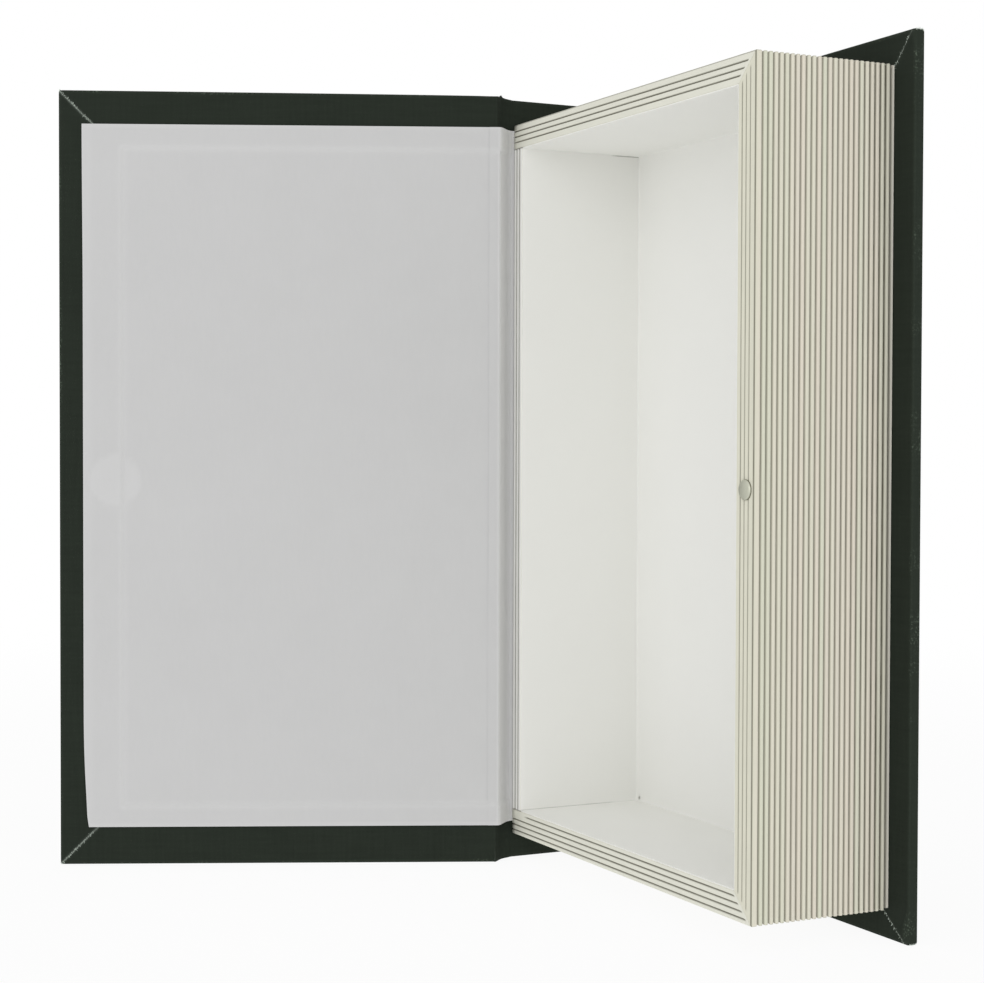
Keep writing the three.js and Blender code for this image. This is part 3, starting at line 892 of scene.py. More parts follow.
def lighter_lines(across, height):
    """Where the paper is rubbed paler: over the turn-in ridges, the disc and its fore edge."""
    beside_fore = smoothstep((COVER_WIDTH - 21.0 - across) / 2)
    between = smoothstep((height - 18.5) / 2) * smoothstep((COVER_HEIGHT - 17.5 - height) / 2)
    ridges = (bell(across - (COVER_WIDTH - FORE_RUB), RUB_WIDTH) * between
              + bell(height - (COVER_HEIGHT - HEAD_RUB), RUB_WIDTH) * beside_fore
              + bell(height - TAIL_RUB, RUB_WIDTH) * beside_fore)
    disc = smoothstep((9.6 - from_disc(across, height)) / 1.2)
    border = smoothstep((across - (COVER_WIDTH - 12.5)) / 2.5)
    return np.clip(np.maximum(np.maximum(ridges, disc * 0.9), border * 0.5), 0, 1) * 0.6


def fore_inset_at(settings, height):
    """The paper's fore edge runs in a little towards the tail."""
    return settings.fore_inset / MM + 1.3 * smoothstep((60 - height) / 50) ** 2 \
        - 0.25 * smoothstep((height - 200) / 60) + 0.7 * smoothstep((18 - height) / 8)


def paper_heights(settings):
    """Heights of the paper's rows of points, closer where it steps over the cloth."""
    low = settings.tail_inset / MM
    high = COVER_HEIGHT - settings.head_inset / MM
    fine = [low, low + 0.25, high - 0.25, high]
    for start, end in NEAR_END_STEPS:
        fine += list(np.arange(start, end, NEAR_END_SPACING))
    return np.unique(np.round(np.concatenate([np.linspace(low, high, 150), fine]), 4))


def cover_endpaper(settings, material):
    """The endpaper on the front cover, as far as the joint."""
    height = paper_heights(settings)
    inside = SEAM_START + np.linspace(0, 1, 130) * (COVER_WIDTH - 26 - SEAM_START)
    near_step = np.arange(COVER_WIDTH - NEAR_FORE_STEP[0], COVER_WIDTH - NEAR_FORE_STEP[1],
                          NEAR_FORE_SPACING)
    across = np.array([
        np.sort(np.concatenate([inside, near_step,
                                np.linspace(COVER_WIDTH - 19.5, end - 0.3, 26), [end]]))
        for end in COVER_WIDTH - fore_inset_at(settings, height)])
    z = height[:, None]
    rise = paper_rise(settings, across, z)
    grid = on_front_cover(across, COVER_THICKNESS + rise + PAPER_THICKNESS, z)
    border = np.full(across.shape, BORDER_RUB)
    border[2:-2, :-2] = 0
    lighter = np.maximum(border, lighter_lines(across, z))
    piece = sheet("front_endpaper", grid, material, (across, z), {"edge": lighter}, True)
    return thicken(piece, PAPER_THICKNESS)


def joint_paper_lines(tuck):
    """Plan lines of the endpaper's visible face over the joint, split at its middle."""
    face = COVER_FOLD + (PAPER_GLUE + PAPER_THICKNESS) * COVER_FACING
    strip = [on_joint(*pair) for pair in PAPER_SPAN]
    cover_side = [
        face + SEAM_START * COVER_RUN, face + 1.4 * COVER_RUN, face,
        face - 0.7 * COVER_RUN - 0.06 * COVER_FACING, *strip[:JOINT_MIDDLE - 1:-1]]
    spine_side = [*strip[JOINT_MIDDLE::-1], (-0.24, -0.35)]
    spine_side += [(PAPER_TUCK_PLACE, depth) for depth in (0.6, 2.0, 5.0, tuck)]
    return cover_side, spine_side


def joint_paper(name, settings, line, material):
    """A strip of endpaper that follows a plan line, raised over the turned-in cloth."""
    line = smooth_line(line)
    height = paper_heights(settings)
    tangent = np.gradient(line, axis=0)
    normal = np.stack([tangent[:, 1], -tangent[:, 0]], -1)
    normal = normal / np.linalg.norm(normal, axis=1)[:, None]
    head, tail = on_turn_ins(height)
    crest = bell(height - (COVER_HEIGHT - HEAD_CREST), 0.7) + bell(height - TAIL_CREST, 0.7)
    full = settings.ridge / MM
    rise = full * (1 - (1 - head) * (1 - tail)) + CREST_SHARE * full * crest - full
    depth = line[:, 1][:, None]
    over_joint = smoothstep((0.2 - depth) / 1.5)
    flat = line[:, None] + normal[:, None] * (rise * over_joint)[..., None]
    # Over the joint the paper is painted paler, as painted light on a strip that faces away from
    # the lamps
    rubbed = 2.2 * over_joint * smoothstep(-depth / 2) * smoothstep((9.2 + depth) / 1.5)
    lighter = np.maximum(lighter_lines(0.0, height), rubbed)
    for border in (slice(2), slice(-2, None)):
        lighter[:, border] = np.maximum(lighter[:, border], BORDER_RUB)
    grid = np.dstack([flat, np.broadcast_to(height, flat.shape[:2])])
    piece = sheet(name, grid, material, (run_lengths(line)[:, None], height), {"edge": lighter})
    return thicken(piece, PAPER_THICKNESS)


# Leaf walls


def leaf_finish(settings, lining_colour):
    """Painted board cut to look like leaves, with each leaf in its own slight tint."""
    finish = Finish("leaf_edges", Specular_IOR_Level=0.35)
    tree, where = finish.tree, finish.where
    tints = add(tree, "ShaderNodeValToRGB", {"stops": [
        (0.0, (0.93, 0.97, 0.90, 1)), (0.35, (1.0, 0.99, 0.95, 1)),
        (0.65, (1.0, 0.96, 0.93, 1)), (1.0, (0.95, 0.95, 0.93, 1))]},
        {"Fac": attribute(tree, "leaf")})
    streak = noise(stretched(*separate(where), 0.06, 1, 0.06), 2200.0, 3.0, 0.6)
    patch = noise(where, 80.0, 3.0, 0.6)
    fleck = ramp_between(noise(where, 900.0, 3.0, 0.7), 0.62, 0.75)
    shade = 0.965 + (streak - 0.5) * 0.1 + (patch - 0.5) * 0.09 - fleck * 0.05
    body = shaded(mix(1.0, settings.colour, tints, "MULTIPLY"), shade)
    # pale mixes in the lining's colour: over the lined face, a paler rim, painted light on the
    # spine wall's rim
    lined = mix(attribute(tree, "pale") * 0.85, body, lining_colour)
    # The seam darkening is stain plus painted shade in seams and grooves and along the outer edge
    dirt = clamp(attribute(tree, "seam") * (0.95 + (patch - 0.5) * 0.4))
    return finish.done(mix(dirt, lined, settings.seam_colour), 0.6 + streak * 0.25,
                       streak * 0.6 + patch * 0.5, 0.06)


def wall_section(width):
    """Loop of (across from the inner face, depth from the mouth) round a wall."""
    arc = np.linspace(0, math.pi / 2, 5)
    rim = np.linspace(INNER_ROUND, width - ARRIS_ROUND, int(width / RIM_STEP))
    loop = [(across, 0.0) for across in rim]
    loop += [(width - ARRIS_ROUND + ARRIS_ROUND * math.sin(a), ARRIS_ROUND
              - ARRIS_ROUND * math.cos(a)) for a in arc[1:]]
    depths = np.arange(ARRIS_ROUND + WALL_STEP, WALL_DEPTH, WALL_STEP)
    loop += [(width, depth) for depth in depths[:-1]]
    loop += [(width, WALL_DEPTH), (width / 2, WALL_DEPTH), (0.0, WALL_DEPTH)]
    loop += [(0.0, WALL_DEPTH * share) for share in (0.75, 0.5, 0.25, 0.05)]
    loop += [(INNER_ROUND - INNER_ROUND * math.cos(a), INNER_ROUND - INNER_ROUND * math.sin(a))
             for a in arc[:-1]]
    return np.array(loop)


@dataclass
class WallShape:
    """Where one wall lies, and what its carving needs to know.

    point gives a place for each across, depth and share along the wall, and outward the way
    out at a share. stops tells at which ends the grooves of the rim stop short, and
    inner_start where the inmost groove begins. arris gives painted shade along the outer
    edge, butt how dark the butted ends are, and pale_rim how pale the
    rim is, which on the spine wall is painted light where the joint shades it.
    """

    name: str
    width: float
    point: object
    outward: object
    stops: tuple
    grooves: int
    first_groove: float
    pitch: float
    leaves: float = 1.0
    arris: float = 0.0
    inner_start: float = 0.0
    butt: float = 0.0
    pale_rim: float = 0.4
    widen: float = 1.0


def wall_shapes(settings):
    """The four walls. share runs from the spine to the fore edge, or from tail to head."""
    head_wall = TRAY_HEAD - INSIDE_HEAD + HEAD_PROUD
    tail_wall = INSIDE_TAIL - TRAY_TAIL + TAIL_PROUD
    fore_wall = TRAY_FORE - INSIDE_FORE
    head_slope, tail_slope = fore_wall / head_wall, fore_wall / tail_wall
    pitch = settings.rim_pitch / MM

    def end_point(inner, up, slope):
        return lambda c, d, s: (s * (INSIDE_FORE + slope * c - WALL_GAP), d, inner + up * c)

    def end_outward(up, slope):
        return lambda s: (s * slope, 0 * s, up + 0 * s)

    def fore_point(c, d, s):
        low = INSIDE_TAIL - c / tail_slope + WALL_GAP
        high = INSIDE_HEAD + c / head_slope - WALL_GAP
        return INSIDE_FORE + c, d, low + s * (high - low)

    def spine_point(c, d, s):
        return INSIDE_SPINE - c, d, INSIDE_TAIL + 0.1 + s * (INSIDE_HEAD - INSIDE_TAIL - 0.2)

    # Each wall's outer edge gets a line of painted shade
    return [
        WallShape("head_leaves", head_wall, end_point(INSIDE_HEAD, 1, head_slope),
                  end_outward(1, head_slope), (False, True), grooves=3, first_groove=2.24,
                  pitch=pitch, arris=0.5),
        WallShape("tail_leaves", tail_wall, end_point(INSIDE_TAIL, -1, tail_slope),
                  end_outward(-1, tail_slope), (False, True), grooves=4, first_groove=1.45,
                  pitch=pitch, inner_start=10.5),
        WallShape("fore_edge_leaves", fore_wall, fore_point,
                  lambda s: (1 + 0 * s, 0 * s, s / head_slope - (1 - s) / tail_slope),
                  (True, True), grooves=3, first_groove=1.96, pitch=pitch * 1.1, arris=0.8,
                  pale_rim=0.05),
        # The spine wall's rim is painted as pale as the lining, as painted light where the joint
        # shades it
        WallShape("spine_wall_leaves", INSIDE_SPINE, spine_point,
                  lambda s: (-1 + 0 * s, 0 * s, 0 * s), (False, False),
                  grooves=2, first_groove=2.05, pitch=pitch * 1.1, leaves=0.0, arris=0.9,
                  butt=0.9, pale_rim=1.2, widen=1.8),
    ]


def wall_blank(shape):
    """The plain wall, with the places that the carving needs kept as attributes."""
    loop = wall_section(shape.width)
    butted = shape.butt > 0
    share = dense_near_ends(64, shape.stops[0] or butted, shape.stops[1] or butted)
    across, depth = loop[:, 0][None, :], loop[:, 1][None, :]
    s = share[:, None]
    points = np.stack(np.broadcast_arrays(*shape.point(across, depth, s)), -1)
    length = np.linalg.norm(points[-1] - points[0], axis=-1)[None, :]
    from_end = np.full(points.shape[:2], 1e3)
    for stops_short, along in zip(shape.stops, (s, 1 - s)):
        if stops_short:
            from_end = np.minimum(from_end, along * length)
    on_side = (across > shape.width - ARRIS_ROUND - 0.01) * smoothstep((depth - 0.05) / 0.5)
    at_arris = (across > shape.width - ARRIS_ROUND - 0.02) & (depth < ARRIS_ROUND * 0.9)
    at_butt = bell(np.minimum(s, 1 - s) * length, 0.25)
    near_rim = smoothstep((ARRIS_ROUND - depth) / ARRIS_ROUND)
    lined = (across < 0.05) & (depth > 0.4)
    count = len(loop)
    row, column = np.meshgrid(np.arange(len(share) - 1), np.arange(count), indexing="ij")
    corner = row * count + column
    following = row * count + (column + 1) % count
    faces = np.stack([corner, following, following + count, corner + count], -1).reshape(-1, 4)
    caps = [list(range(count)), list(range((len(share) - 1) * count, len(share) * count))]
    piece = new_piece(
        shape.name, points, faces.tolist() + caps,
        numbers={"depth": depth * MM, "across": across * MM, "from_end": from_end * MM,
                 "run": s * length * MM, "leaf_side": on_side * shape.leaves,
                 "rim": (depth < 0.02) * 1.0,
                 # Painted shade along the outer edge, and darker butted ends
                 "dirt": np.maximum(shape.arris * at_arris, shape.butt * at_butt),
                 # A paler rim, painted light on the spine wall, and the lined inner face
                 "pale": np.maximum(shape.pale_rim * near_rim, lined)},
        vectors={"outward": np.stack(np.broadcast_arrays(*shape.outward(s)), -1)})
    face_outwards(piece)
    return piece


def carving_tree():
    """Geometry nodes that cut the seams between leaves and the grooves in the rim."""
    names = ("First seam", "Leaf pitch", "Seam width", "Seam depth", "Crown", "Wander",
             "Rim first", "Rim pitch", "Rim grooves", "Rim width", "Rim depth", "Rim stop",
             "Inner groove start", "Seed")
    tree, sockets, given = open_tree("leaf_carving", [(name, "Float") for name in names])

    def stored(name, kind="FLOAT"):
        return add(tree, "GeometryNodeInputNamedAttribute", {"data_type": kind}, {"Name": name})

    def stray(number, per_metre, apart, seed):
        """How far a hand-cut line strays to one side, from -0.5 to 0.5."""
        return noise(combine(tree, run * per_metre, number * apart, seed), 1.0) - 0.5

    depth, run, across = stored("depth"), stored("run"), stored("across")
    leaf_side = stored("leaf_side")
    first, pitch = given("First seam"), given("Leaf pitch")
    in_band = (depth - first) / pitch
    leaf_number = in_band.rounded()
    seam_stray = stray(leaf_number, 30.0, 3.7, given("Seed")) * given("Wander") * 2.0
    seam_place = first + leaf_number * pitch + seam_stray
    off_seam = abs(depth - seam_place)
    # The seams are wider and darker towards the back cover, but the last one, a glue line, is
    # narrower and lighter.
    towards_back = clamp(depth / (WALL_DEPTH * MM)).power(6.0)
    glue_line = (seam_place + pitch * 0.5).over(WALL_DEPTH * MM)
    half_width = given("Seam width") * (towards_back * 0.15 - glue_line * 0.15 + 0.5)
    inside_seam = clamp(1.0 - (off_seam / half_width).power(2.0))
    real_seam = (leaf_number + 0.5).over(0.0)
    rounding = clamp(1.0 - off_seam * 2.0 / pitch).power(2.0)
    carved = real_seam * (inside_seam.power(1.5) * given("Seam depth")
                          + rounding * given("Crown"))
    # The seams' darkness is their stain together with painted shade in them
    seam_stain_and_shade = inside_seam * real_seam * leaf_side \
        * (towards_back * 0.6 - glue_line * 0.52 + 0.78)

    first, pitch = given("Rim first"), given("Rim pitch")
    groove_number = ((across - first) / pitch).rounded()
    groove_stray = stray(groove_number, 14.0, 5.1, given("Seed") + 9.0) * given("Wander") * 2.4
    off_groove = abs(across - (first + groove_number * pitch + groove_stray))
    real_groove = (groove_number + 0.5).over(0.0) \
        * (1.0 - (groove_number + 0.5).over(given("Rim grooves")))
    stop = clamp((stored("from_end") - given("Rim stop")) / (RUN_OUT * MM))
    begun = groove_number.over(0.5).at_least(
        clamp((run - given("Inner groove start")) / (RUN_OUT * MM)))
    inside_groove = clamp(1.0 - (off_groove / (given("Rim width") * 0.5)).power(2.0)) \
        * real_groove * stop * begun * stored("rim")

    inward = add(tree, "ShaderNodeVectorMath", {"operation": "SCALE"},
                 {0: stored("outward", "FLOAT_VECTOR"), "Scale": -(carved * leaf_side)})
    into_rim = combine(tree, 0.0, inside_groove.power(1.5) * given("Rim depth"), 0.0)
    offset = add(tree, "ShaderNodeVectorMath", {"operation": "ADD"}, {0: inward, 1: into_rim})
    geometry = add(tree, "GeometryNodeSetPosition", None,
                   {"Geometry": given("Geometry"), "Offset": offset})
    tint = add(tree, "ShaderNodeTexWhiteNoise", {"noise_dimensions": "1D"},
               {"W": (in_band + 100.0).floor() + given("Seed")})
    # seam gathers stain with painted shade in seams and grooves, and the stored darkening of
    # edges and ends
    seam = clamp(seam_stain_and_shade + inside_groove + stored("dirt"))
    for name, value in (("leaf", tint), ("seam", seam)):
        geometry = add(tree, "GeometryNodeStoreNamedAttribute",
                       {"data_type": "FLOAT", "domain": "POINT"},
                       {"Geometry": geometry, "Name": name, "Value": value})
    close_tree(tree, geometry, given("Material"))
    return tree, sockets


def carve(piece, shape, settings, tree, sockets, material):
    """Cuts the seams and grooves of one wall."""
    return grow(piece, tree, sockets, {
        "First seam": settings.first, "Leaf pitch": settings.pitch,
        "Seam width": settings.groove_width, "Seam depth": settings.groove_depth,
        "Crown": settings.crown, "Wander": settings.wander,
        "Rim first": shape.first_groove * MM, "Rim pitch": shape.pitch * MM,
        "Rim grooves": float(shape.grooves), "Rim width": settings.rim_width * shape.widen,
        "Rim depth": settings.rim_depth, "Rim stop": settings.rim_stop,
        "Inner groove start": shape.inner_start * MM,
        "Seed": float(settings.seed + len(shape.name)), "Material": material})


# Linings


def lining_finish(settings):
    """White pasted paper, a little yellow-green, with a fine tooth."""
    finish = Finish("lining_paper", Specular_IOR_Level=0.3)
    tooth = noise(finish.where, 2200.0, 3.0, 0.6)
    mottle = noise(finish.where, 45.0, 4.0, 0.6)
    cloud = noise(finish.where, 8.0)
    shade = 0.985 + (mottle - 0.5) * 0.03 + (cloud - 0.5) * 0.03 + (tooth - 0.5) * 0.02
    # tone paints light and shade into each sheet; gap paints shade where the paper is open
    body = shaded(settings.colour, shade * attribute(finish.tree, "tone"))
    return finish.done(mix(attribute(finish.tree, "gap"), body, paint(96, 94, 82)),
                       0.8 + mottle * 0.1, tooth * 0.5 + mottle * 0.8, 0.04)


def lining_sheet(name, lay_out, spans, wave, coves, material, inward, gap=None):
    """A pasted sheet; lay_out gives a place for two spans and a rise off the wall.

    coves lists for the four borders how far the paper swings into the corner. gap gives
    painted shade where the paper is open.
    """
    def stations(low, high):
        inside = np.linspace(low + 3, high - 3, max(3, int((high - low) / LINING_STEP)))
        return np.concatenate([[low + step for step in BORDER_STEPS], inside,
                               [high - step for step in BORDER_STEPS[::-1]]])

    (a_low, a_high), (b_low, b_high) = spans
    a, b = stations(a_low, a_high)[:, None], stations(b_low, b_high)[None, :]
    rise = wave * (np.sin(a / 13 + b / 31) * np.sin(b / 19 + 1.3) + 0.5 * np.sin(a / 5 - b / 7))
    for distance, cove in zip((a - a_low, a_high - a, b - b_low, b_high - b), coves):
        rise = rise + cove * np.clip(1 - distance / LINING_SWING, 0, 1) ** 2
    grid = np.stack(np.broadcast_arrays(*lay_out(a, b, rise)), -1)
    # tone is the sheet's painted light, gap its painted shade
    piece = sheet(name, grid, material, (a, b),
                  {"gap": gap(a, b) if gap else 0, "tone": LINING_PAINTED_LIGHT.get(name, 1.0)})
    if piece.data.polygons[len(piece.data.polygons) // 2].normal.dot(inward) < 0:
        piece.data.flip_normals()
    return thicken(piece, LINING_THICKNESS)


def lining_sheets(settings, material):
    """The floor's paper spans x and z, and a wall's paper its length and its depth."""
    wave = settings.wave / MM
    low, high = sides("floor_lining")
    head, tail = sides("head_lining"), sides("tail_lining")
    fore, spine = sides("fore_edge_lining"), sides("spine_lining")
    depths = (head[0].y, FLOOR_FACE)

    def painted_shade_in_open_seams(along, depth):
        """Painted shade where the paper gapes in the corner of spine and head at the floor, and
        in a fainter line in the corner at the tail.
        """
        near = 0.85 * bell(high.z - along, 0.22)
        gape = near * smoothstep((depth - GAPE_TOP) / 2) \
            * smoothstep((GAPE_BOTTOM - depth) / 0.6)
        fine = 0.5 * bell(along - low.z, 0.16) * smoothstep((40 - depth) / 6)
        return np.maximum(gape, fine)

    # Painted shade in a pinhole near the spine and tail corner of the floor paper
    def painted_shade_in_pinhole(x, z):
        return bell(np.hypot(x - (low.x + 2.0), z - (low.z + 1.2)), 0.6)

    sheets = {"floor_lining": lining_sheet(
        "floor_paper", lambda a, b, r: (a, low.y - r, b), ((low.x, high.x), (low.z, high.z)),
        wave, (0.12, 0.12, 0.12, 0.12), material, (0, -1, 0), painted_shade_in_pinhole)}
    for node, name, lay_out, span, cove, inward, gap in (
            ("head_lining", "head_paper", lambda a, b, r: (a, b, head[0].z - r),
             (head[0].x, head[1].x), 0.15, (0, 0, -1), None),
            ("tail_lining", "tail_paper", lambda a, b, r: (a, b, tail[1].z + r),
             (tail[0].x, tail[1].x), 0.15, (0, 0, 1), None),
            ("fore_edge_lining", "fore_edge_paper", lambda a, b, r: (fore[0].x - r, b, a),
             (fore[0].z, fore[1].z), 0.1, (-1, 0, 0), None),
            ("spine_lining", "spine_paper", lambda a, b, r: (spine[1].x + r, b, a),
             (spine[0].z, spine[1].z), 0.1, (1, 0, 0), painted_shade_in_open_seams)):
        sheets[node] = lining_sheet(name, lay_out, (span, depths), wave * 0.5,
                                    (cove, cove, -0.12, 0.2), material, inward, gap)
    return sheets


# Other finishes


def board_finish():
    """Grey pulp board, mottled and specked."""
    finish = Finish("greyboard")
    pulp = noise(finish.where, 500.0, 4.0, 0.65)
    speck = ramp_between(noise(finish.where, 1500.0, 2.0, 0.6, 2.0), 0.66, 0.75)
    body = mix(pulp, paint(132, 128, 118), paint(154, 150, 140))
    return finish.done(mix(speck * 0.5, body, paint(92, 88, 80)), 0.85 + pulp * 0.1, pulp, 0.08)


def steel_finish():
    """Plain steel with fine turning marks."""
    finish = Finish("disc_steel", Metallic=1.0)
    grain = noise(stretched(*separate(finish.where), 1, 1, 0.05), 4000.0)
    return finish.done(mix(grain, paint(150, 151, 150), paint(168, 169, 168)),
                       0.35 + grain * 0.15, grain, 0.01)


def base_finish(settings):
    """The thin base panel, painted like the leaves but paler, with a darker glue line."""
    finish = Finish("base_edge")
    grain = noise(finish.where, 700.0, 3.0, 0.6)
    painted = mix(grain, times(settings.colour, 0.93), times(settings.colour, 1.07))
    glue_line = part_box("tray_base")[0].y
    _, y, _ = separate(finish.where)
    dirt = ramp_between(y, glue_line + 0.0004, glue_line + 0.0001)
    return finish.done(mix(dirt * 0.6, painted, settings.seam_colour), 0.6 + grain * 0.2,
                       grain, 0.05)


def magnet_finish(settings, face):
    """Satin nickel plating with faint scratches, and painted shade on its side beyond the bevel.
    """
    finish = Finish("magnet_plating", Metallic=1.0)
    scratch = noise(stretched(*separate(finish.where), 1, 1, 0.08), 5000.0)
    haze = noise(finish.where, 800.0, 3.0, 0.6)
    plated = mix(haze, times(settings.colour, 0.85), settings.colour)
    _, y, _ = separate(finish.where)
    # Painted shade on the side of the magnet, past the bevel
    painted_shade_on_side = ramp_between(y + (haze - 0.5) * 0.0006, face + 0.0003, face + 0.0006)
    return finish.done(mix(painted_shade_on_side * 0.85, plated, paint(92, 88, 70)), 0.42 + haze * 0.2,
                       scratch, 0.006)


def turned_disc(name, profile, centre, material):
    """A closed solid turned about an axis along y. profile runs from axis to axis."""
    x, y, z = centre
    angles = np.linspace(0, 2 * math.pi, DISC_STEPS, endpoint=False)
    points = [(x, y + profile[0][1], z)]
    for radius, depth in profile[1:-1]:
        points += [(x + radius * math.cos(a), y + depth, z + radius * math.sin(a))
                   for a in angles]
    points.append((x, y + profile[-1][1], z))
    rings = len(profile) - 2
    last = 1 + (rings - 1) * DISC_STEPS
    around = [(k, (k + 1) % DISC_STEPS) for k in range(DISC_STEPS)]
    faces = [[0, 1 + k, 1 + after] for k, after in around]
    for first in range(1, last, DISC_STEPS):
        following = first + DISC_STEPS
        faces += [[first + k, following + k, following + after, first + after]
                  for k, after in around]
    faces += [[last + k, len(points) - 1, last + after] for k, after in around]
    piece = new_piece(name, points, faces, material)
    face_outwards(piece)
    return piece


# Frayed threads


def fray_tree():
    """Geometry nodes that set loose fibres along a line."""
    tree, sockets, given = open_tree("frayed_threads", (
        ("Count", "Int"), ("Length", "Float"), ("Thickness", "Float"), ("Scatter", "Float"),
        ("Seed", "Int")))

    def chance(low, high, shift):
        return add(tree, "FunctionNodeRandomValue", {"data_type": "FLOAT_VECTOR"},
                   {0: low, 1: high, 8: given("Seed") + float(shift)})

    line = add(tree, "GeometryNodeMeshToCurve", None, {0: given("Geometry")})
    spots = add(tree, "GeometryNodeResampleCurve", {"mode": "COUNT"},
                {"Curve": line, "Count": given("Count")})
    scatter = add(tree, "ShaderNodeVectorMath", {"operation": "SCALE"},
                  {0: chance((-1, -1, -1), (1, 1, 1), 0), "Scale": given("Scatter")})
    scattered = add(tree, "GeometryNodeSetPosition", None, {"Geometry": spots, "Offset": scatter})
    fibre = add(tree, "GeometryNodeCurvePrimitiveLine", None, {
        "Start": (0, 0, 0), "End": combine(tree, given("Length"), 0.0, 0.0)})
    round_section = add(tree, "GeometryNodeCurvePrimitiveCircle", None,
                        {"Resolution": 3, "Radius": given("Thickness")})
    tube = add(tree, "GeometryNodeCurveToMesh", None,
               {"Curve": fibre, "Profile Curve": round_section, "Fill Caps": True})
    threads = add(tree, "GeometryNodeInstanceOnPoints", None, {
        "Points": scattered, "Instance": tube,
        "Rotation": chance((-0.5, -3.1, -0.5), (0.5, 3.1, 0.5), 1),
        "Scale": chance((0.4, 0.7, 0.7), (1.5, 1.3, 1.3), 2)})
    close_tree(tree, threads, given("Material"))
    return tree, sockets


def thread_finish(settings):
    """Pale cut cotton."""
    finish = Finish("raw_thread")
    tone = noise(finish.where, 3000.0)
    return finish.done(mix(tone, times(settings.raw_colour, 0.7),
                           times(settings.raw_colour, 1.3)), 0.85 + tone * 0.1)


def fray_lines(lay_out, drift):
    """Mitres and outer corners of one cover, as lines of points."""
    lines = []
    on_mitre = np.linspace(0.7, 11.5, 30)
    down_corner = np.linspace(0.4, COVER_THICKNESS - 0.3, 8)
    for at_head in (False, True):
        height = COVER_HEIGHT - on_mitre if at_head else on_mitre
        lines.append(lay_out(drifted(COVER_WIDTH - on_mitre, height, drift),
                             COVER_THICKNESS + 0.06, height))
        height = COVER_HEIGHT - 0.35 if at_head else 0.35
        lines.append(lay_out(COVER_WIDTH - 0.35, down_corner, height))
    return lines


def frayed_threads(name, lines, count, seed, tree, sockets, material):
    """Loose fibres of one cover, along lines of points."""
    edges = []
    first = 0
    for line in lines:
        edges += [(first + k, first + k + 1) for k in range(len(line) - 1)]
        first += len(line)
    mesh = bpy.data.meshes.new(name)
    mesh.from_pydata(place(np.concatenate(lines)).tolist(), edges, [])
    return grow(link(name, mesh), tree, sockets, {
        "Count": count, "Length": FIBRE_LENGTH * MM, "Thickness": FIBRE_RADIUS * MM,
        "Scatter": FIBRE_SCATTER * MM, "Seed": seed, "Material": material})


# Operators


def hand_over(piece, body, slot, *nodes):
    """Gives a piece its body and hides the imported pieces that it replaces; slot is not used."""
    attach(piece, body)
    if nodes:
        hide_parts(*nodes)


class BOOKBOX_OT_boards(bpy.types.Operator):
    """Gives the hidden boards, the steel disc and the base panel their finishes"""

    bl_idname = "bookbox.boards"
    bl_label = "Boards and disc"

    def execute(self, context):
        board, steel = board_finish(), steel_finish()
        base = base_finish(context.scene.book_leaves)
        for node, material in (("front_board", board), ("spine_board", board),
                               ("back_board", board), ("steel_disc", steel),
                               ("tray_base", base)):
            mesh = frame["nodes"][node].data
            mesh.materials.clear()
            mesh.materials.append(material)
        return {"FINISHED"}


class BOOKBOX_OT_cloth(bpy.types.Operator):
    """Covers the boards, the spine and both joints in book cloth"""

    bl_idname = "bookbox.cloth"
    bl_label = "Book cloth"

    def execute(self, context):
        material = book_cloth(context.scene.book_cloth)
        front = cover_cloth("front_cover_cloth", on_front_cover, material, False,
                            FRONT_DRIFT, FRONT_CUT)
        hand_over(front, "front_cover", "book_cloth", "front_cloth")
        back = cover_cloth("back_cover_cloth", on_back_cover, material, True,
                           BACK_DRIFT, BACK_CUT)
        hand_over(back, "box", "book_cloth", "back_cloth")
        spine = case_cloth("spine_and_back_joint_cloth", *spine_lines(), material)
        hand_over(spine, "box", "book_cloth", "spine_cloth", "back_joint_cloth")
        spine_side, cover_side = joint_lines()
        near_spine = case_cloth("joint_cloth_spine_side", *spine_side, material,
                                SPINE_SIDE_BUMP)
        near_cover = case_cloth("joint_cloth_cover_side", *cover_side, material,
                                COVER_SIDE_BUMP, COVER_SIDE_FOLD)
        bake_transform(near_spine)
        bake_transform(near_cover)
        for piece in (near_spine, near_cover):
            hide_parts("front_joint_cloth")
        return {"FINISHED"}


class BOOKBOX_OT_fray(bpy.types.Operator):
    """Sets pale cut threads along the mitres and at the corners of the covers"""

    bl_idname = "bookbox.fray"
    bl_label = "Frayed threads"

    def execute(self, context):
        settings = context.scene.book_cloth
        tree, sockets = fray_tree()
        material = thread_finish(settings)
        count = settings.fray_threads
        for name, body, lines, share in (
                ("front_cover_threads", "front_cover", fray_lines(on_front_cover, FRONT_DRIFT),
                 count),
                ("back_cover_threads", "box", fray_lines(on_back_cover, BACK_DRIFT),
                 count // 2)):
            piece = frayed_threads(name, lines, share, settings.seed, tree, sockets, material)
            hand_over(piece, body, "book_cloth")
        return {"FINISHED"}


class BOOKBOX_OT_endpaper(bpy.types.Operator):
    """Pastes the endpaper inside the front cover and over its joint"""

    bl_idname = "bookbox.endpaper"
    bl_label = "Endpaper"

    def execute(self, context):
        settings = context.scene.book_endpaper
        material = endpaper_finish(settings)
        hand_over(cover_endpaper(settings, material), "front_cover", "endpaper", "endpaper")
        cover_side, spine_side = joint_paper_lines(settings.tuck / MM)
        near_cover = joint_paper("joint_paper_cover_side", settings, cover_side, material)
        near_spine = joint_paper("joint_paper_spine_side", settings, spine_side, material)
        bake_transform(near_cover)
        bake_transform(near_spine)
        for piece in (near_cover, near_spine):
            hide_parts("endpaper_joint")
        return {"FINISHED"}


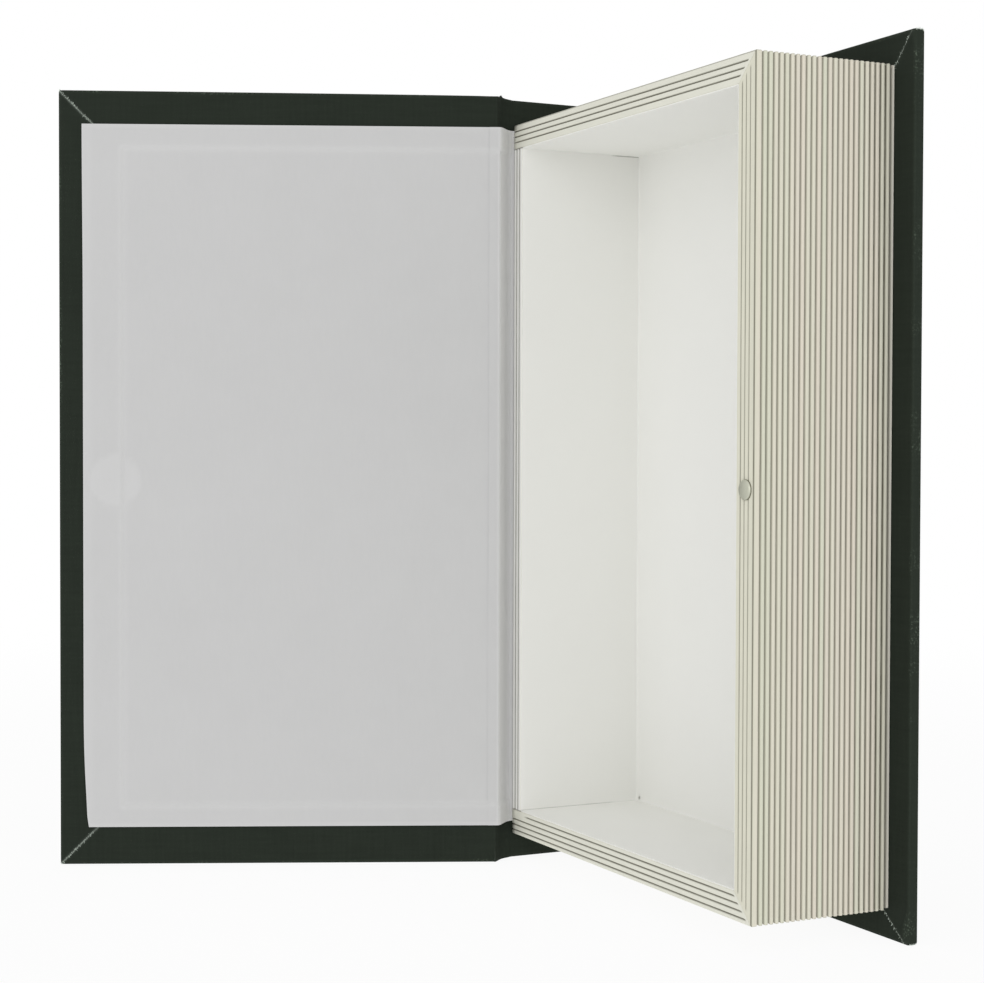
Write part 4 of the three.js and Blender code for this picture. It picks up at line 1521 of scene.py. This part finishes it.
class BOOKBOX_OT_leaves(bpy.types.Operator):
    """Carves the walls of the tray to look like the leaves of a book"""

    bl_idname = "bookbox.leaves"
    bl_label = "Leaf walls"

    def execute(self, context):
        settings = context.scene.book_leaves
        material = leaf_finish(settings, context.scene.book_lining.colour)
        tree, sockets = carving_tree()
        nodes = ("head_wall", "tail_wall", "fore_edge_wall", "spine_wall")
        for shape, node in zip(wall_shapes(settings), nodes):
            piece = carve(wall_blank(shape), shape, settings, tree, sockets, material)
            hand_over(piece, "box", "leaves", node)
        return {"FINISHED"}


class BOOKBOX_OT_linings(bpy.types.Operator):
    """Lines the inside of the tray with white paper"""

    bl_idname = "bookbox.linings"
    bl_label = "Tray linings"

    def execute(self, context):
        settings = context.scene.book_lining
        for node, piece in lining_sheets(settings, lining_finish(settings)).items():
            hand_over(piece, "box", "lining", node)
        return {"FINISHED"}


class BOOKBOX_OT_magnet(bpy.types.Operator):
    """Turns the plated magnet in the rim of the fore-edge wall"""

    bl_idname = "bookbox.magnet"
    bl_label = "Rim magnet"

    def execute(self, context):
        settings = context.scene.book_closure
        low, high = sides("rim_magnet")
        radius = (high.x - low.x) / 2
        length = high.y - low.y
        bevel = settings.chamfer / MM
        profile = [(0, 0), (radius - bevel - 0.05, 0), (radius - bevel, 0.03),
                   (radius - 0.06, bevel - 0.05), (radius, bevel + 0.04),
                   (radius, length - 0.3), (radius - 0.3, length), (0, length)]
        centre = ((low.x + high.x) / 2, low.y, (low.z + high.z) / 2)
        piece = turned_disc("plated_magnet", profile, centre,
                            magnet_finish(settings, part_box("rim_magnet")[0].y))
        hand_over(piece, "box", "magnet", "rim_magnet")
        return {"FINISHED"}


class BOOKBOX_OT_stage(bpy.types.Operator):
    """Sets the floor, the soft light, the white surroundings and the camera"""

    bl_idname = "bookbox.stage"
    bl_label = "Stage"

    def execute(self, context):
        settings = context.scene.book_stage
        context.scene.view_settings.view_transform = "Standard"
        stage_floor()
        white_surroundings(context.scene, settings.ambient)
        soft_box(settings.key_power)
        context.scene.camera = photo_camera(settings.lens)
        return {"FINISHED"}


OPERATORS = (BOOKBOX_OT_boards, BOOKBOX_OT_cloth, BOOKBOX_OT_fray, BOOKBOX_OT_endpaper,
             BOOKBOX_OT_leaves, BOOKBOX_OT_linings, BOOKBOX_OT_magnet, BOOKBOX_OT_stage)


# Stage


def background_ray(tree):
    """1 for rays that see the surroundings themselves, 0 for rays that light the object."""
    path = add(tree, "ShaderNodeLightPath", out="Is Camera Ray")
    return clamp(path + path.output("Is Glossy Ray") + path.output("Is Transmission Ray"))


def stage_floor():
    """A white floor that glows where the camera sees it, and for the rays that light the object
    glows at its grey level and is matte for the rest, so that it lights the object from below.
    """
    mesh = bpy.data.meshes.new("floor")
    mesh.from_pydata([(x * FLOOR_HALF, y * FLOOR_HALF, 0) for x, y in
                      ((-1, -1), (1, -1), (1, 1), (-1, 1))], [], [(0, 1, 2, 3)])
    material = bpy.data.materials.new("floor_white")
    material.use_nodes = True
    tree = material.node_tree
    tree.nodes.clear()
    matte = add(tree, "ShaderNodeBsdfDiffuse", None,
                {"Color": (FLOOR_GREY_AND_GLOW, FLOOR_GREY_AND_GLOW, FLOOR_GREY_AND_GLOW, 1)})
    glow = add(tree, "ShaderNodeEmission", None, {"Color": (1, 1, 1, 1), "Strength": 1.0})
    x, y, _ = separate(add(tree, "ShaderNodeTexCoord", out="Object"))
    away = ramp_between((x * x + y * y).power(0.5), 0.3, 1.0)
    seen = background_ray(tree)
    shown = add(tree, "ShaderNodeMixShader", None, {
        0: seen * (FLOOR_NEAR + away * (1 - FLOOR_NEAR)) + (1.0 - seen) * FLOOR_GREY_AND_GLOW,
        1: matte, 2: glow})
    tree.links.new(shown.socket, tree.nodes.new("ShaderNodeOutputMaterial").inputs["Surface"])
    mesh.materials.append(material)
    link("floor", mesh)


def white_surroundings(scene, ambient):
    """White all round, dimmer for the rays that light the object."""
    world = bpy.data.worlds.new("white")
    world.use_nodes = True
    tree = world.node_tree
    tree.nodes.clear()
    seen = background_ray(tree)
    backdrop = add(tree, "ShaderNodeBackground", None,
                   {"Color": (1, 1, 1, 1), "Strength": seen * (1 - ambient) + ambient})
    tree.links.new(backdrop.socket, tree.nodes.new("ShaderNodeOutputWorld").inputs["Surface"])
    scene.world = world


def soft_box(power):
    """A large soft lamp at the side of the fore edge."""
    lamp = bpy.data.lights.new("soft_box", "AREA")
    lamp.shape = "SQUARE"
    lamp.size = LAMP_SIZE
    lamp.energy = power
    holder = link("soft_box", lamp)
    holder.location = LAMP_PLACE
    direction = Vector(LAMP_AIM) - Vector(LAMP_PLACE)
    holder.rotation_euler = direction.to_track_quat("-Z", "Y").to_euler()


def photo_camera(lens):
    """The photograph's viewpoint."""
    yaw, pitch, roll = (math.radians(angle) for angle in CAMERA_TURN)
    ahead = Vector((math.sin(yaw) * math.cos(pitch), math.cos(yaw) * math.cos(pitch),
                    math.sin(pitch)))
    level = Vector((math.cos(yaw), -math.sin(yaw), 0))
    up = level.cross(ahead)
    right = level * math.cos(roll) + up * math.sin(roll)
    up = up * math.cos(roll) - level * math.sin(roll)
    data = bpy.data.cameras.new("camera")
    data.sensor_width = SENSOR_WIDTH
    data.lens = lens
    data.clip_start = 0.01
    camera = link("camera", data)
    turn = Matrix((right, up, -ahead)).transposed().to_4x4()
    camera.matrix_world = Matrix.Translation(Vector(place([CAMERA_PLACE])[0])) @ turn
    return camera


# Panel


class BOOKBOX_PT_panel(bpy.types.Panel):
    """Settings and steps of the book box"""

    bl_idname = "BOOKBOX_PT_panel"
    bl_label = "Book box"
    bl_space_type = "VIEW_3D"
    bl_region_type = "UI"
    bl_category = "Book box"

    def draw(self, context):
        for name in SETTINGS:
            box = self.layout.box()
            group = getattr(context.scene, name)
            for key in group.__annotations__:
                box.prop(group, key)
        for operator in OPERATORS:
            self.layout.operator(operator.bl_idname)


SETTINGS = {
    "book_cloth": BookClothSettings,
    "book_endpaper": EndpaperSettings,
    "book_leaves": LeafEdgeSettings,
    "book_lining": LiningSettings,
    "book_closure": ClosureSettings,
    "book_stage": StageSettings,
}
CLASSES = (*SETTINGS.values(), *OPERATORS, BOOKBOX_PT_panel)


def register():
    """Adds the settings, the steps and the panel."""
    for item in CLASSES:
        bpy.utils.register_class(item)
    for name, group in SETTINGS.items():
        setattr(bpy.types.Scene, name, PointerProperty(type=group))


def unregister():
    """Takes the settings, the steps and the panel away again."""
    for name in SETTINGS:
        delattr(bpy.types.Scene, name)
    for item in reversed(CLASSES):
        bpy.utils.unregister_class(item)


def main():
    """Makes the whole scene."""
    register()
    bpy.ops.bookbox.boards()
    bpy.ops.bookbox.cloth()
    bpy.ops.bookbox.fray()
    bpy.ops.bookbox.endpaper()
    bpy.ops.bookbox.leaves()
    bpy.ops.bookbox.linings()
    bpy.ops.bookbox.magnet()
    bpy.ops.bookbox.stage()


if __name__ == "__main__":
    main()
